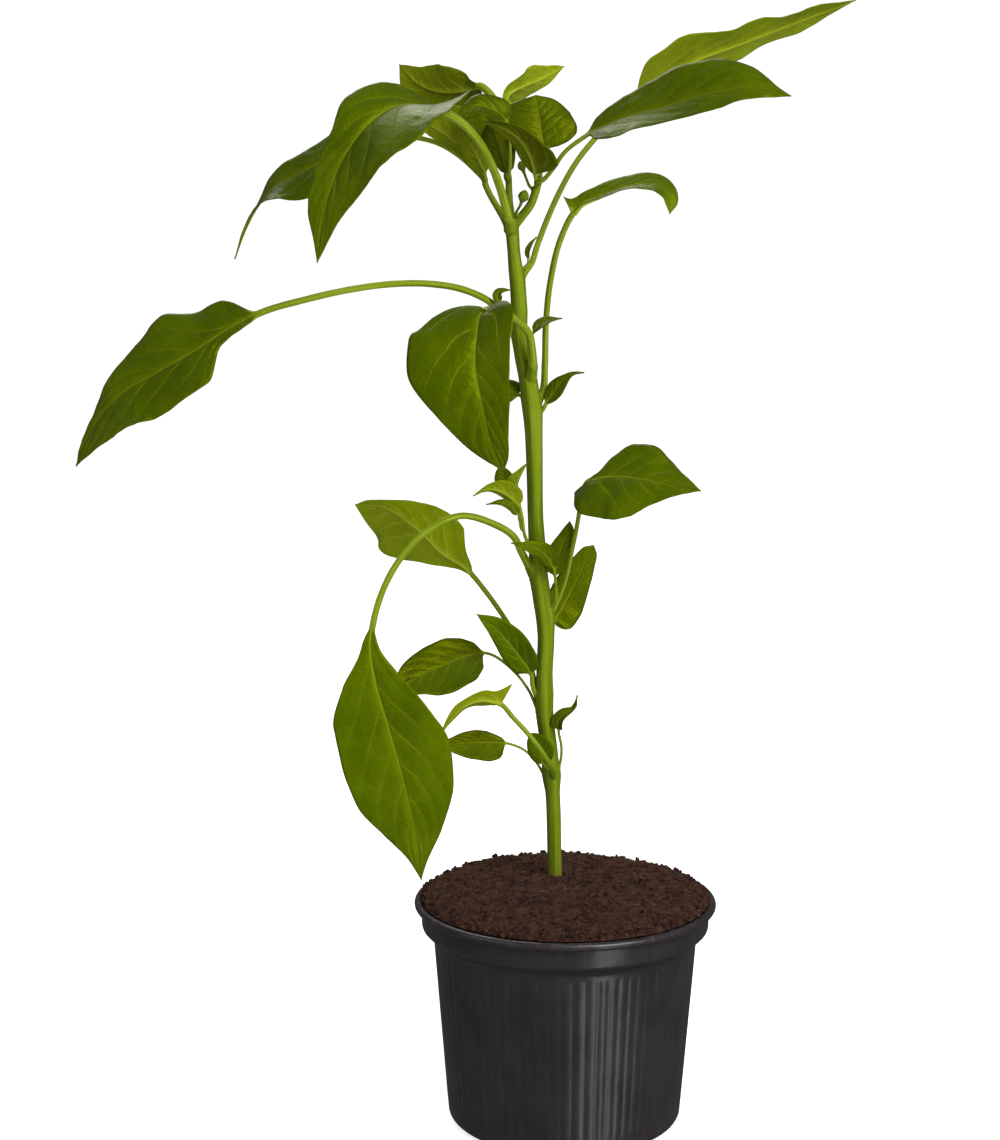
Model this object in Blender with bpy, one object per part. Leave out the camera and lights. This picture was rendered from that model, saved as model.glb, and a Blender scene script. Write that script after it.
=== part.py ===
"""Sweet pepper plant grown in a round nursery pot, at its real size.

Sizes in the tables below are millimetres and are turned into metres where
the meshes are made.  +Z is up, the foot of the pot stands on z = 0 and the
pot's axis is the Z axis.  The plant's widest spread is along X.

One object for each piece: the moulded pot, the body of potting soil, the
main stem with its fork, and every leaf with its own stalk.
"""

import math

import bmesh
import bpy
from mathutils import Vector

for _old in list(bpy.data.objects):
    bpy.data.objects.remove(_old, do_unlink=True)

MM = 0.001
GAP = 0.35                 # clearance kept between neighbouring pieces

# ---------------------------------------------------------------- pot ----
POT_SEGMENTS = 48
POT_HEIGHT = 90.0
RIM_RADIUS = 60.0          # outside of the rolled lip
LIP_ROLL = 1.6             # radius of the roll
COLLAR_RADIUS = 57.1       # outside of the band under the lip
COLLAR_BOTTOM = 79.5
BODY_TOP_RADIUS = 52.4
BODY_TOP = 75.0
BODY_FOOT_RADIUS = 46.7
FOOT_CORNER = 3.6          # rounding between wall and base
WALL = 1.2
BASE_WALL = 1.3
PAD_RADIUS = 25.0          # flat middle of the base, rests on the table
CHANNEL = (27.0, 37.0)     # raised drainage channel, inner and outer radius
CHANNEL_RISE = 1.8
DRAIN_HOLES = 8
DRAIN_HOLE_RADIUS = 3.6

# --------------------------------------------------------------- soil ----
SOIL_SPILL = 57.8              # radius of the crumbs heaped on the lip
SOIL_PLATEAU = 94.2            # height of the level part
SOIL_CROWN = 97.4              # height around the stem

# --------------------------------------------------------------- stem ----
# x, y, z and radius at points up the stem, from the foot in the soil
STEM = (
    (-3.5, 8.0, 70.0, 2.5),
    (-3.6, 8.0, 84.0, 3.1),
    (-3.8, 7.8, 100.0, 3.3),
    (-4.9, 6.0, 132.0, 3.25),
    (-5.4, 5.6, 139.0, 3.7),
    (-6.0, 5.2, 146.0, 3.35),
    (-8.0, 4.0, 165.0, 3.3),
    (-8.2, 3.6, 172.0, 3.6),
    (-8.3, 3.2, 180.0, 3.25),
    (-7.8, 2.4, 196.0, 3.3),
    (-8.2, 2.0, 203.0, 3.6),
    (-9.2, 1.6, 210.0, 3.7),
    (-10.6, 1.2, 220.0, 3.5),
    (-11.3, 0.8, 231.0, 3.3),
    (-12.0, 0.6, 242.0, 3.0),
    (-12.4, 0.3, 258.0, 3.05),
    (-13.0, 0.0, 277.0, 3.35),
    (-14.0, 0.0, 289.0, 3.7),
    (-15.6, 0.0, 298.0, 3.3),
    (-17.4, 0.0, 306.0, 3.0),
    (-18.3, 0.0, 314.0, 3.0),
    (-18.5, 0.0, 323.0, 3.2),
    (-18.8, 0.0, 332.0, 3.1),
    (-19.3, 0.0, 338.0, 3.0),
    (-20.0, 0.0, 345.0, 2.55),
    (-20.6, 0.0, 352.0, 2.5),
    (-21.0, 0.0, 358.0, 2.9),
)
BRANCHES = (
    ((-21.0, 0.5, 355.0, 2.0), (-23.7, 3.0, 361.0, 1.75), (-28.2, 5.0, 366.3, 1.5),
     (-31.2, 6.5, 371.0, 1.4)),
    ((-20.6, -0.5, 355.0, 2.1), (-16.8, -2.0, 361.5, 1.8), (-13.6, -3.0, 366.5, 1.7),
     (-12.4, -3.2, 370.5, 1.3)),
    ((-21.0, 1.0, 356.0, 2.0), (-22.0, 5.5, 365.0, 1.4), (-22.6, 8.5, 376.6, 1.45)),
)

# -------------------------------------------------------------- leaves ---
# at      height on the stem and bearing around it (degrees, +X is 0,
#         -90 points to the front) where the stalk leaves the stem
# start   used instead of "at" where the stalk starts on a branch or shoot
# stalk   points along the stalk; the last one is the base of the blade
# rib     points along the midrib after the base, the last one is the tip
# face    directions of the upper face near base, middle and tip
# half    greatest half widths, left and right of the midrib
# peak    where along the midrib each half is widest, 0 base, 1 tip
# tip     taper towards the tip, larger is more drawn out
# left    in place of half, peak and tip: widths of the left half at the
# right   WIDTH_STATIONS along the midrib, and of the right half
# join    length over which the round stalk turns into the flat blade
# fold    angle of each half against the face at base, middle and tip
# curl    further bend between midrib and margin
# lobe    how far each half reaches back past the base of the blade
# wave    height, number and phase of ripples along the margins
# stem    radius of the stalk at the stem and at the blade
WIDTH_STATIONS = (0.05, 0.12, 0.22, 0.35, 0.5, 0.65, 0.8, 0.92)

LEAVES = {
    "leaf_01": dict(
        at=(222, -158),
        stalk=((-17.2, -4.4, 229), (-20.5, -7.5, 236), (-29, -12, 242), (-41, -17, 245.5),
               (-54, -22, 240), (-64.5, -26, 229), (-71.5, -30, 215), (-74.5, -33, 200)),
        rib=((-73, -35.5, 186), (-68, -37.5, 168), (-61.5, -38.5, 143.5),
             (-57.5, -37, 123.5), (-56, -34, 107)),
        face=((-0.25, -1, 0.05), (-0.05, -1, 0.12), (0.1, -1, -0.1)),
        left=(5.5, 9, 14.5, 18, 20.8, 17, 9.8, 4),
        right=(5.5, 12, 19, 21.5, 20.3, 18, 11, 4.5), fold=(10, 6, 4), curl=-8,
        wave=(0.8, 2.5, 0.4), stem=(1.85, 1.35)),
    "leaf_02": dict(
        at=(171.5, 150),
        stalk=((-14.6, 10, 184), (-23.4, 16, 199), (-31.2, 18, 210), (-40, 20, 220.5)),
        rib=((-47.5, 22, 224.5), (-58.5, 27, 234), (-73.5, 32, 243), (-84.5, 34, 243.5)),
        face=((0.15, 0.95, 0.25), (0.1, 0.95, 0.25), (-0.1, 0.9, 0.3)),
        left=(5, 13, 14.5, 13.5, 11, 6.5, 3, 2), right=(3, 4.5, 7.5, 13.5, 18, 20, 18, 10.5),
        fold=(6, 6, 4), curl=8, wave=(0.6, 2, 0.0), stem=(1.2, 1.05)),
    "leaf_03": dict(
        at=(165, 178),
        stalk=((-14.5, 5, 173), (-21, 7, 181), (-31.5, 8, 187.5)),
        rib=((-38.5, 5, 187), (-47, 0, 184.5), (-58, -6, 180.5), (-66.5, -12, 175)),
        face=((-0.2, -0.8, 0.5), (-0.25, -0.85, 0.45), (-0.4, -0.9, 0.2)),
        left=(5, 8.5, 11.5, 13, 13.5, 12, 8.5, 4.5), right=(3, 6, 8.5, 10, 10, 9, 7, 3.5),
        fold=(8, 6, 4), curl=6, wave=(0.5, 2, 0.3), stem=(0.6, 0.55)),
    "leaf_04": dict(
        at=(139, -75),
        stalk=((-7, -7, 147), (-14, -11, 158), (-21, -14, 166.5), (-26, -16, 171.5)),
        rib=((-31.5, -17.5, 173.2), (-39, -20, 169.6), (-50, -22, 159.6)),
        face=((-0.1, 0.5, 0.8), (-0.35, 0.5, 0.8), (-0.7, 0.5, 0.45)),
        left=(6, 7.5, 8, 8, 7, 5.5, 4, 2), right=(5.5, 6.5, 7, 7.5, 7, 5.5, 4, 2),
        join=0.05, fold=(30, 14, 8), curl=0, lobe=(10, 1), wave=(0.4, 2, 0),
        stem=(1.25, 0.95)),
    "leaf_05": dict(
        at=(138.5, 170),
        stalk=((-11.5, 7, 143.5), (-16, 8, 148), (-23, 7.5, 151)),
        rib=((-30, 5, 152), (-38, 2, 152.5), (-49, -2, 152.5)),
        face=((-0.1, -0.85, 0.5), (-0.1, -0.85, 0.5), (-0.3, -0.85, 0.4)),
        left=(3.5, 6.3, 8, 8.6, 8, 7, 4.8, 2.4), right=(1.5, 2.5, 3.8, 4.8, 5, 4.5, 3.2, 1.8),
        fold=(8, 6, 4), curl=6, wave=(0.2, 2, 0), stem=(0.5, 0.5)),
    "leaf_06": dict(
        at=(143.5, -112),
        stalk=((-8.2, -1.8, 146.6), (-8.8, -2.4, 148)),
        rib=((-10.2, -3.4, 152), (-12.2, -4.2, 156.5), (-14.5, -4.8, 161.5)),
        face=((-0.2, -0.9, 0.4), (-0.2, -0.9, 0.4), (-0.2, -0.9, 0.3)),
        half=(4.4, 6.0), peak=(0.4, 0.35), tip=0.7, fold=(12, 8, 4), curl=0,
        wave=(0, 2, 0), stem=(0.6, 0.5)),
    "leaf_07": dict(
        at=(170.5, -168),
        stalk=((-13.2, 2.2, 176), (-13.4, 2.2, 179.5)),
        rib=((-19, 0, 189), (-26, -3, 198), (-35, -8, 206)),
        face=((-0.45, -0.85, 0.3), (-0.4, -0.85, 0.35), (-0.3, -0.9, 0.3)),
        half=(6.2, 7.4), peak=(0.28, 0.38), tip=1.0, fold=(14, 10, 6), curl=0,
        wave=(0.3, 3, 0), stem=(0.8, 0.65)),
    "leaf_08": dict(
        at=(207.5, -25),
        stalk=((-1.2, -1.5, 216), (1.8, -6, 230), (4.4, -9.5, 245), (5.4, -11, 253.5),
               (7.8, -14.5, 258.6)),
        rib=((11.5, -17.5, 260.0), (17, -19.5, 260.8), (27.5, -25, 260.5), (36.5, -29, 259),
             (49, -34, 257)),
        face=((0.1, -0.85, 0.5), (0.1, -0.88, 0.45), (0.2, -0.9, 0.35)),
        left=(3, 6, 11.5, 14.5, 14, 10.5, 6, 2.5), right=(10, 14, 17.5, 19, 15.5, 9.5, 4.5, 1.5),
        join=0.04, fold=(8, 6, 4), curl=-12, lobe=(0, 11), wave=(0.5, 2, 0.5),
        stem=(1.05, 0.9)),
    "leaf_09": dict(
        at=(203.5, 40),
        stalk=((-2.9, 6.2, 203), (-2.4, 7.8, 202)),
        rib=((0.2, 10, 207.5), (5.5, 13.5, 217.5), (11.5, 17, 229.5)),
        face=((0.3, -0.85, 0.35), (0.25, -0.9, 0.3), (0.2, -0.9, 0.2)),
        left=(4, 6.5, 7.5, 7.5, 7, 5.5, 3.2, 1.5), right=(4.5, 6.6, 7.6, 7.6, 6.6, 5.0, 3.0, 1.4),
        join=0.05, fold=(6, 4, 4), curl=0, lobe=(6, 8), wave=(0.2, 2, 0), stem=(0.7, 0.6)),
    "leaf_10": dict(
        at=(210.5, -35),
        stalk=((-3.9, -2.2, 214), (-4.8, -3.2, 219.5), (-5.0, -3.8, 224)),
        rib=((-4.6, -3.8, 229), (-2.2, -3.6, 236), (1.4, -3.4, 243)),
        face=((0.1, -1, 0.2), (0.1, -1, 0.15), (0.15, -1, 0.1)),
        half=(4.4, 5.0), peak=(0.5, 0.4), tip=0.8, fold=(16, 10, 4), curl=0,
        wave=(0, 2, 0), stem=(0.6, 0.5)),
    "leaf_11": dict(
        start=(-6.3, -4.4, 221.0),
        stalk=((-6.6, -5.2, 224), (-6.6, -7.6, 228)),
        rib=((-9.4, -9.4, 231.5), (-14, -11, 233.5), (-22.5, -13, 235)),
        face=((-0.6, 0.2, 0.8), (-0.2, -0.2, 0.95), (0, -0.3, 0.95)),
        half=(4.6, 4.6), peak=(0.35, 0.35), tip=1.0, fold=(20, 14, 8), curl=0,
        lobe=(2, 2), wave=(0, 2, 0), stem=(0.5, 0.45)),
    "leaf_12": dict(
        at=(283.5, -12),
        stalk=((-8.7, -1.4, 286), (-7.6, -1.8, 288)),
        rib=((-4.8, -2.0, 292), (-1.2, -2.2, 296.6), (1.6, -2.2, 298.6), (6.5, -2.0, 299)),
        face=((-0.5, -0.8, 0.4), (-0.4, -0.8, 0.5), (-0.1, -0.6, 0.8)),
        half=(3.6, 3.6), peak=(0.35, 0.3), tip=1.7, fold=(10, 8, 4), curl=0,
        wave=(0, 2, 0), stem=(0.6, 0.5)),
    "leaf_13": dict(
        at=(290, 165),
        stalk=((-20, 1.6, 291), (-21, 2.2, 291.4)),
        rib=((-25, 4, 292.4), (-30, 5.5, 292), (-35, 7, 290)),
        face=((-0.1, -0.8, 0.5), (-0.1, -0.8, 0.5), (-0.1, -0.8, 0.5)),
        half=(4.6, 4.6), peak=(0.35, 0.35), tip=0.9, fold=(8, 6, 4), curl=0,
        wave=(0, 2, 0), stem=(0.6, 0.5)),
    "leaf_14": dict(
        at=(310.5, -18),
        stalk=((-14.0, -1.6, 312.6), (-13.2, -2.0, 314)),
        rib=((-11.0, -2.4, 316.8), (-7.4, -2.8, 318.8), (-2, -3.0, 319.8)),
        face=((-0.5, -0.6, 0.6), (-0.4, -0.6, 0.7), (-0.2, -0.5, 0.8)),
        half=(2.4, 2.4), peak=(0.35, 0.35), tip=1.5, fold=(14, 10, 4), curl=0,
        wave=(0, 2, 0), stem=(0.45, 0.4)),
    "leaf_15": dict(
        at=(299.5, -55),
        stalk=((-12.6, -5.6, 303), (-12.8, -7.6, 308), (-15, -10.2, 314.5),
               (-20, -14, 319.8), (-26, -19, 323.4), (-32, -24, 323)),
        rib=((-34.5, -31, 314), (-35, -35, 304), (-32.5, -38, 290), (-29.5, -37, 276.5),
             (-24.5, -33, 264)),
        face=((-0.3, -0.75, 0.5), (-0.15, -0.95, 0.25), (-0.05, -1, -0.15)),
        left=(14, 16, 14.5, 14, 12, 9.6, 7, 4), right=(15, 22.5, 26, 25.5, 21, 15.5, 8.6, 3.5),
        join=0.03, fold=(12, 9, 6), curl=(4, -10), lobe=(9, 3), wave=(0.4, 2, 0.5),
        stem=(1.8, 1.35)),
    "leaf_16": dict(
        at=(231, -128),
        stalk=((-16.2, -5.2, 236.4), (-18.2, -7.0, 242), (-19.8, -8.2, 246.5)),
        rib=((-21.8, -9.6, 251.5), (-25.4, -11.4, 255.6), (-30.4, -13.2, 256.4),
             (-37, -16, 252.4)),
        face=((-0.7, 0.3, 0.6), (-0.2, 0.35, 0.9), (-0.2, 0.3, 0.9)),
        half=(5.6, 5.6), peak=(0.4, 0.35), tip=1.0, fold=(30, 18, 8), curl=0,
        wave=(0.2, 2, 0), stem=(0.65, 0.55)),
    "leaf_17": dict(
        start=(-17.4, -8.2, 238.4),
        stalk=((-18.6, -9.6, 242), (-20.8, -11.4, 245.4)),
        rib=((-23.2, -13.2, 248.4), (-26.4, -15.4, 250.2), (-32, -18.4, 249.6)),
        face=((-0.7, -0.2, 0.7), (-0.4, -0.3, 0.85), (-0.2, -0.3, 0.95)),
        half=(2.0, 2.0), peak=(0.35, 0.35), tip=1.2, fold=(20, 14, 8), curl=0,
        wave=(0, 2, 0), stem=(0.5, 0.45)),
    "leaf_18": dict(
        at=(288.5, 20),
        stalk=((-9.4, 2.6, 291.6), (-8.6, 4.2, 301), (-8.2, 6, 317), (-6.4, 8, 334),
               (-2.4, 10, 350), (4, 12, 361.0)),
        rib=((9.5, 12.5, 363.4), (17.5, 12, 366.4), (26.5, 10, 368.4), (36.0, 6, 368.5),
             (41.4, 3, 365.5), (39.4, 2, 358)),
        face=((-0.35, -0.1, 0.9), (0.0, -0.45, 0.9), (0.9, -0.3, 0.3)),
        left=(4, 4.5, 5.4, 7.5, 9, 9, 7, 3.6), right=(3, 3.5, 3.5, 3.5, 4, 6.5, 7.5, 5),
        join=0.05, fold=(40, 14, 4), curl=0, lobe=(7, 1), wave=(0.3, 2, 0),
        stem=(1.6, 1.3)),
    "leaf_19": dict(
        at=(316.5, 178),
        stalk=((-24.3, 0.1, 320.6), (-30, -0.5, 326), (-39, -2, 330.3), (-52, -6, 332.8),
               (-65, -10, 333), (-82, -16, 331), (-99, -22, 327.3), (-114, -26, 323)),
        rib=((-125, -29.5, 317.5), (-140, -33.5, 308), (-152.5, -36.5, 301),
             (-165.5, -39, 293), (-175, -41, 282), (-182, -42, 267)),
        face=((-0.25, -0.8, 0.55), (-0.35, -0.85, 0.4), (-0.7, -0.7, 0.2)),
        left=(2.5, 3.5, 5, 14, 19.8, 18, 12.5, 5.4), right=(5.5, 14, 17, 17.4, 14.4, 8.6, 4, 1.6),
        fold=(8, 6, 4), curl=(-8, -8), wave=(0.9, 3.2, 0.9), stem=(1.6, 1.35)),
    "leaf_20": dict(
        at=(350.0, -120),
        stalk=((-24.4, -6.8, 358.6), (-26.2, -8.8, 367.6), (-30.8, -13.4, 381), (-37, -20.5, 390),
               (-47.5, -30, 396)),
        rib=((-55, -38, 397.5), (-63.5, -46, 396.5), (-71.5, -51.5, 391), (-80.5, -56, 379.5),
             (-87, -58.5, 363.5), (-91, -58, 341.5)),
        face=((0.1, -0.6, 0.8), (-0.4, -0.8, 0.45), (-0.25, -0.95, -0.05)),
        left=(10.5, 17, 22.5, 25, 21.5, 14.5, 7.5, 3), right=(4, 6.5, 11.5, 14.5, 9, 8, 6, 2.4),
        join=0.04, fold=(22, 12, 6), curl=(-6, 0), lobe=(16, 2), wave=(0.8, 3, 0.6),
        stem=(1.9, 1.7)),
    "leaf_21": dict(
        start=(-31.9, 6.9, 372.4),
        stalk=((-34.2, 8.4, 374.6), (-40, 12, 380), (-49, 17, 385.8), (-63, 23, 389)),
        rib=((-84, 31, 385), (-104.5, 36, 375.5), (-115.5, 37.5, 370), (-123, 38, 361.5),
             (-127.5, 37, 352.5), (-131.5, 36, 341.5)),
        face=((-0.2, -0.7, 0.65), (-0.4, -0.75, 0.5), (-0.85, 0.5, -0.1)),
        left=(8, 12, 14, 15, 12.5, 8, 3.4, 1.4), right=(7, 11, 12, 11, 9, 6, 2.5, 1.2),
        fold=(8, 6, 10), curl=(-8, -8), wave=(0.7, 3, 0.2), stem=(1.05, 1.0)),
    "leaf_22": dict(
        start=(-24.6, 9.0, 378.2),
        stalk=((-24.8, 10.0, 387.2), (-26.3, 12.0, 397.8), (-29.7, 14.0, 405.0)),
        rib=((-34.4, 16.0, 405.2), (-43.3, 19.0, 402.7), (-52.3, 22.0, 400.6), (-60.1, 24.0, 398.8), (-66.4, 25.0, 396.6)),
        face=((0.1, 0.85, 0.5), (0.0, 0.85, 0.5), (-0.2, 0.85, 0.4)),
        left=(4, 7, 11.5, 16, 18.5, 19, 17, 10), right=(4, 8, 14, 17, 15.5, 12, 8, 4),
        join=0.06, fold=(8, 6, 4), curl=-8, wave=(0.5, 2, 0), stem=(0.95, 0.8)),
    "leaf_23": dict(
        start=(-22.0, 10.5, 378.4),
        stalk=((-23.6, 13.0, 387.3), (-24.4, 16.0, 395.0), (-24.4, 18.0, 400.4)),
        rib=((-22.4, 21.0, 405.1), (-16.9, 27.0, 408.5), (-9.1, 33.0, 411.9), (-0.7, 39.0, 416.8)),
        face=((0.1, 0.75, 0.65), (0.1, 0.75, 0.65), (0.2, 0.75, 0.6)),
        left=(4, 6, 7.5, 8, 7.5, 6.5, 4.4, 2), right=(7, 11, 13, 12.5, 10, 7, 4, 1.8),
        join=0.06, fold=(6, 8, 4), curl=0, wave=(0.3, 2, 0), stem=(0.8, 0.65)),
    "leaf_24": dict(
        start=(-11.5, -2.4, 371.6),
        stalk=((-10.4, -1.4, 375.2), (-9.2, 0.0, 379.3), (-9.2, 1.0, 383.1)),
        rib=((-10.0, 2.5, 388.4), (-10.7, 4.0, 393.6), (-11.4, 6.0, 399.0), (-12.2, 8.0, 403.9)),
        face=((0.1, -0.95, 0.1), (0.05, -0.95, 0.35), (0.0, -0.85, 0.55)),
        left=(7, 10, 12, 13, 13.5, 14, 13.5, 10.5), right=(7, 11, 13.5, 14, 13, 12, 9.5, 6),
        join=0.05, fold=(14, 8, 0), curl=-20, wave=(0.4, 2, 0), stem=(0.9, 0.8)),
    "leaf_25": dict(
        start=(-13.9, -5.5, 371.6),
        stalk=((-13.1, -7.0, 375.0), (-14.1, -10.0, 379.4)),
        rib=((-15.9, -15.0, 383.6), (-18.1, -20.0, 387.4), (-21.5, -27.0, 390.6)),
        face=((0.15, 0.5, 0.85), (0.15, 0.45, 0.85), (0.2, 0.4, 0.9)),
        left=(5, 9, 11, 11.5, 10.5, 8, 5, 2.4), right=(4, 7, 8.5, 9, 8, 6.5, 4.4, 2.2),
        join=0.06, fold=(16, 8, 4), curl=(-14, -14), wave=(0.4, 2, 0), stem=(0.75, 0.65)),
    "leaf_26": dict(
        start=(-21.3, 7.0, 378.8),
        stalk=((-22.5, 3.2, 379.4), (-23.3, -2.0, 384.8), (-24.0, -5.0, 389.9)),
        rib=((-25.9, -7.0, 393.1), (-29.6, -10.0, 395.9), (-34.1, -13.0, 396.8), (-38.5, -16.0, 393.8)),
        face=((-0.1, -0.7, 0.7), (-0.1, -0.75, 0.65), (-0.3, -0.8, 0.5)),
        half=(6.2, 6.4), peak=(0.45, 0.45), tip=0.6, fold=(16, 12, 6), curl=-10,
        wave=(0.2, 2, 0), stem=(0.7, 0.6)),
    "leaf_27": dict(
        start=(-12.0, -5.0, 370.6),
        stalk=((-9.4, -6.6, 372), (-6.4, -8.6, 375.4), (-1.6, -11.4, 382), (5, -14, 387)),
        rib=((19.5, -22, 394), (34, -29, 397.5), (46.5, -34.5, 401), (62, -39.5, 403.5),
             (78.5, -43, 400.5)),
        face=((-0.25, -0.7, 0.7), (-0.15, -0.8, 0.55), (0.2, -0.85, 0.45)),
        left=(3.5, 6, 9, 12.5, 14.5, 14.5, 10, 3.5), right=(5, 10, 12.5, 11, 9.5, 8.5, 6, 2.5),
        fold=(20, 10, 4), curl=(-10, 4), wave=(0.5, 2, 0.2), stem=(0.95, 0.85)),
    "leaf_28": dict(
        at=(336, 25),
        stalk=((-13.6, 5.4, 341), (-12, 7.5, 346), (-9, 11.5, 354), (-3, 18, 367.4),
               (4, 24.5, 379.5), (14, 32, 391.5), (26.5, 38, 404)),
        rib=((41.5, 44, 415), (53.5, 48, 420.8), (70, 54, 426.8), (90.5, 60, 434.6),
             (118, 66, 445)),
        face=((-0.5, 0.55, 0.65), (-0.3, 0.5, 0.8), (-0.35, 0.4, 0.85)),
        left=(4, 8.5, 12, 13.5, 12.5, 11, 8.5, 4.5), right=(10, 15, 14.5, 12.5, 9, 8, 6, 3),
        join=0.06, fold=(12, 10, 6), curl=(-6, 0), wave=(0.8, 3.5, 0.0), stem=(1.5, 1.35)),
    "leaf_29": dict(
        at=(141, -10),
        stalk=((-1.2, 4.6, 145.4), (-1.4, 2.0, 151), (-2.2, -0.4, 156.4)),
        rib=((-2.6, -1.8, 159.8), (0.6, -2.8, 164), (4.6, -3, 166.4), (6.2, -3, 170)),
        face=((-0.3, 0.5, 0.7), (-0.5, 0.35, 0.75), (-0.9, 0.3, 0.2)),
        half=(4.2, 4.2), peak=(0.3, 0.3), tip=1.5, fold=(24, 14, 6), curl=0,
        lobe=(2, 2), wave=(0, 2, 0), stem=(0.5, 0.45)),
    "leaf_30": dict(
        at=(338.5, -20),
        stalk=((-15.3, -1.8, 340.6), (-15.2, -2.2, 342)),
        rib=((-15.2, -2.5, 344.6), (-14.2, -2.7, 347.4), (-12, -2.8, 350.6)),
        face=((-0.6, -0.4, 0.6), (-0.7, -0.4, 0.5), (-0.7, -0.4, 0.4)),
        half=(2.4, 2.2), peak=(0.4, 0.4), tip=1.5, fold=(14, 10, 4), curl=0,
        wave=(0, 2, 0), stem=(0.45, 0.4)),
    "leaf_31": dict(
        at=(322.6, -168),
        stalk=((-23.6, -2.4, 325), (-24.2, -2.8, 326.6)),
        rib=((-25.2, -3.2, 328.6), (-25.6, -3.5, 331), (-24.2, -3.6, 333.4)),
        face=((0.4, -0.6, 0.5), (0.5, -0.6, 0.4), (0.6, -0.6, 0.3)),
        half=(2.2, 2.6), peak=(0.5, 0.5), tip=0.9, fold=(20, 14, 6), curl=0,
        wave=(0, 2, 0), stem=(0.45, 0.4)),
    "leaf_32": dict(
        start=(-31.2, 5.0, 372.0),
        stalk=((-31.6, 3.4, 373.6), (-32.8, 2.2, 375.4)),
        rib=((-35.6, 0.6, 378.8), (-40, -1, 382.4), (-47, -3.4, 386.4)),
        face=((-0.1, -0.8, 0.5), (-0.2, -0.8, 0.55), (-0.3, -0.8, 0.5)),
        half=(4.0, 6.0), peak=(0.4, 0.4), tip=0.8, fold=(10, 8, 4), curl=0,
        wave=(0.2, 2, 0), stem=(0.6, 0.5)),
    "leaf_33": dict(
        start=(-16.4, -5.6, 243.4),
        stalk=((-16.8, -5.2, 246.6), (-17.0, -4.8, 248.8)),
        rib=((-17.2, -4.6, 252), (-16.8, -4.6, 257.4), (-15.4, -4.8, 265)),
        face=((0.6, 0.75, 0.2), (0.6, 0.75, 0.2), (0.6, 0.75, 0.2)),
        half=(3.0, 3.0), peak=(0.4, 0.4), tip=1.0, fold=(22, 16, 8), curl=0,
        wave=(0, 2, 0), stem=(0.5, 0.45)),
    "leaf_34": dict(
        start=(-19.2, -5.0, 244.4),
        stalk=((-20.2, -4.2, 247), (-21.0, -3.6, 250)),
        rib=((-22.2, -3.2, 254), (-24.4, -3.0, 258.6), (-27.5, -3.2, 264)),
        face=((-0.3, -0.9, 0.2), (-0.3, -0.9, 0.2), (-0.3, -0.9, 0.2)),
        half=(4.2, 4.2), peak=(0.45, 0.45), tip=0.8, fold=(12, 8, 4), curl=0,
        wave=(0, 2, 0), stem=(0.5, 0.45)),
    "leaf_35": dict(
        start=(-22.6, 8.8, 379.0),
        stalk=((-23.0, 7.6, 378.0), (-23.6, 6.6, 379.9)),
        rib=((-25.1, 5.2, 382.9), (-27.4, 3.8, 386.9), (-30.8, 3.0, 392.9)),
        face=((-0.5, -0.8, 0.2), (-0.5, -0.8, 0.2), (-0.5, -0.8, 0.3)),
        half=(6.2, 5.6), peak=(0.42, 0.42), tip=0.7, fold=(12, 8, 4), curl=0,
        wave=(0, 2, 0), stem=(0.5, 0.45)),
    "leaf_36": dict(
        start=(-29.9, 8.7, 372.8),
        stalk=((-30.6, 9.2, 376), (-32.0, 9.4, 378.6)),
        rib=((-34.6, 9.4, 383), (-38.2, 9.0, 387.6), (-43.5, 8.4, 391.5)),
        face=((-0.2, -0.9, 0.3), (-0.2, -0.9, 0.4), (-0.2, -0.9, 0.4)),
        half=(6.0, 6.0), peak=(0.45, 0.45), tip=0.7, fold=(10, 8, 4), curl=0,
        wave=(0.2, 2, 0), stem=(0.6, 0.5)),
}

# ---------------------------------------------------------- flower buds ---
BUDS = {
    "flower_bud_1": dict(start=(-19.8, -3.2, 359.6), neck=(-18.2, -5.2, 362.4),
                         centre=(-16.9, -6.0, 366.0), radius=2.1),
    "flower_bud_2": dict(start=(-15.2, -2.4, 370.4), neck=(-16.6, -2.8, 374.0),
                         centre=(-17.8, -3.0, 377.2), radius=1.7),
}

# -------------------------------------------------------------- finishes --
FINISH = {
    "pot_plastic": ((0.030, 0.028, 0.031), 0.38),
    "potting_soil": ((0.045, 0.018, 0.010), 0.95),
    "stem_skin": ((0.235, 0.36, 0.035), 0.45),
    "leaf_blade": ((0.085, 0.16, 0.006), 0.38),
    "young_leaf": ((0.13, 0.22, 0.012), 0.40),
    "flower_bud": ((0.10, 0.19, 0.02), 0.45),
}


def finish(name, key):
    """A Principled material of its own for one piece."""
    colour, rough = FINISH[key]
    mat = bpy.data.materials.new(name)
    mat.use_nodes = True
    shader = mat.node_tree.nodes["Principled BSDF"]
    shader.inputs["Base Color"].default_value = (*colour, 1.0)
    shader.inputs["Roughness"].default_value = rough
    shader.inputs["Metallic"].default_value = 0.0
    mat.diffuse_color = (*colour, 1.0)
    return mat


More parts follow.
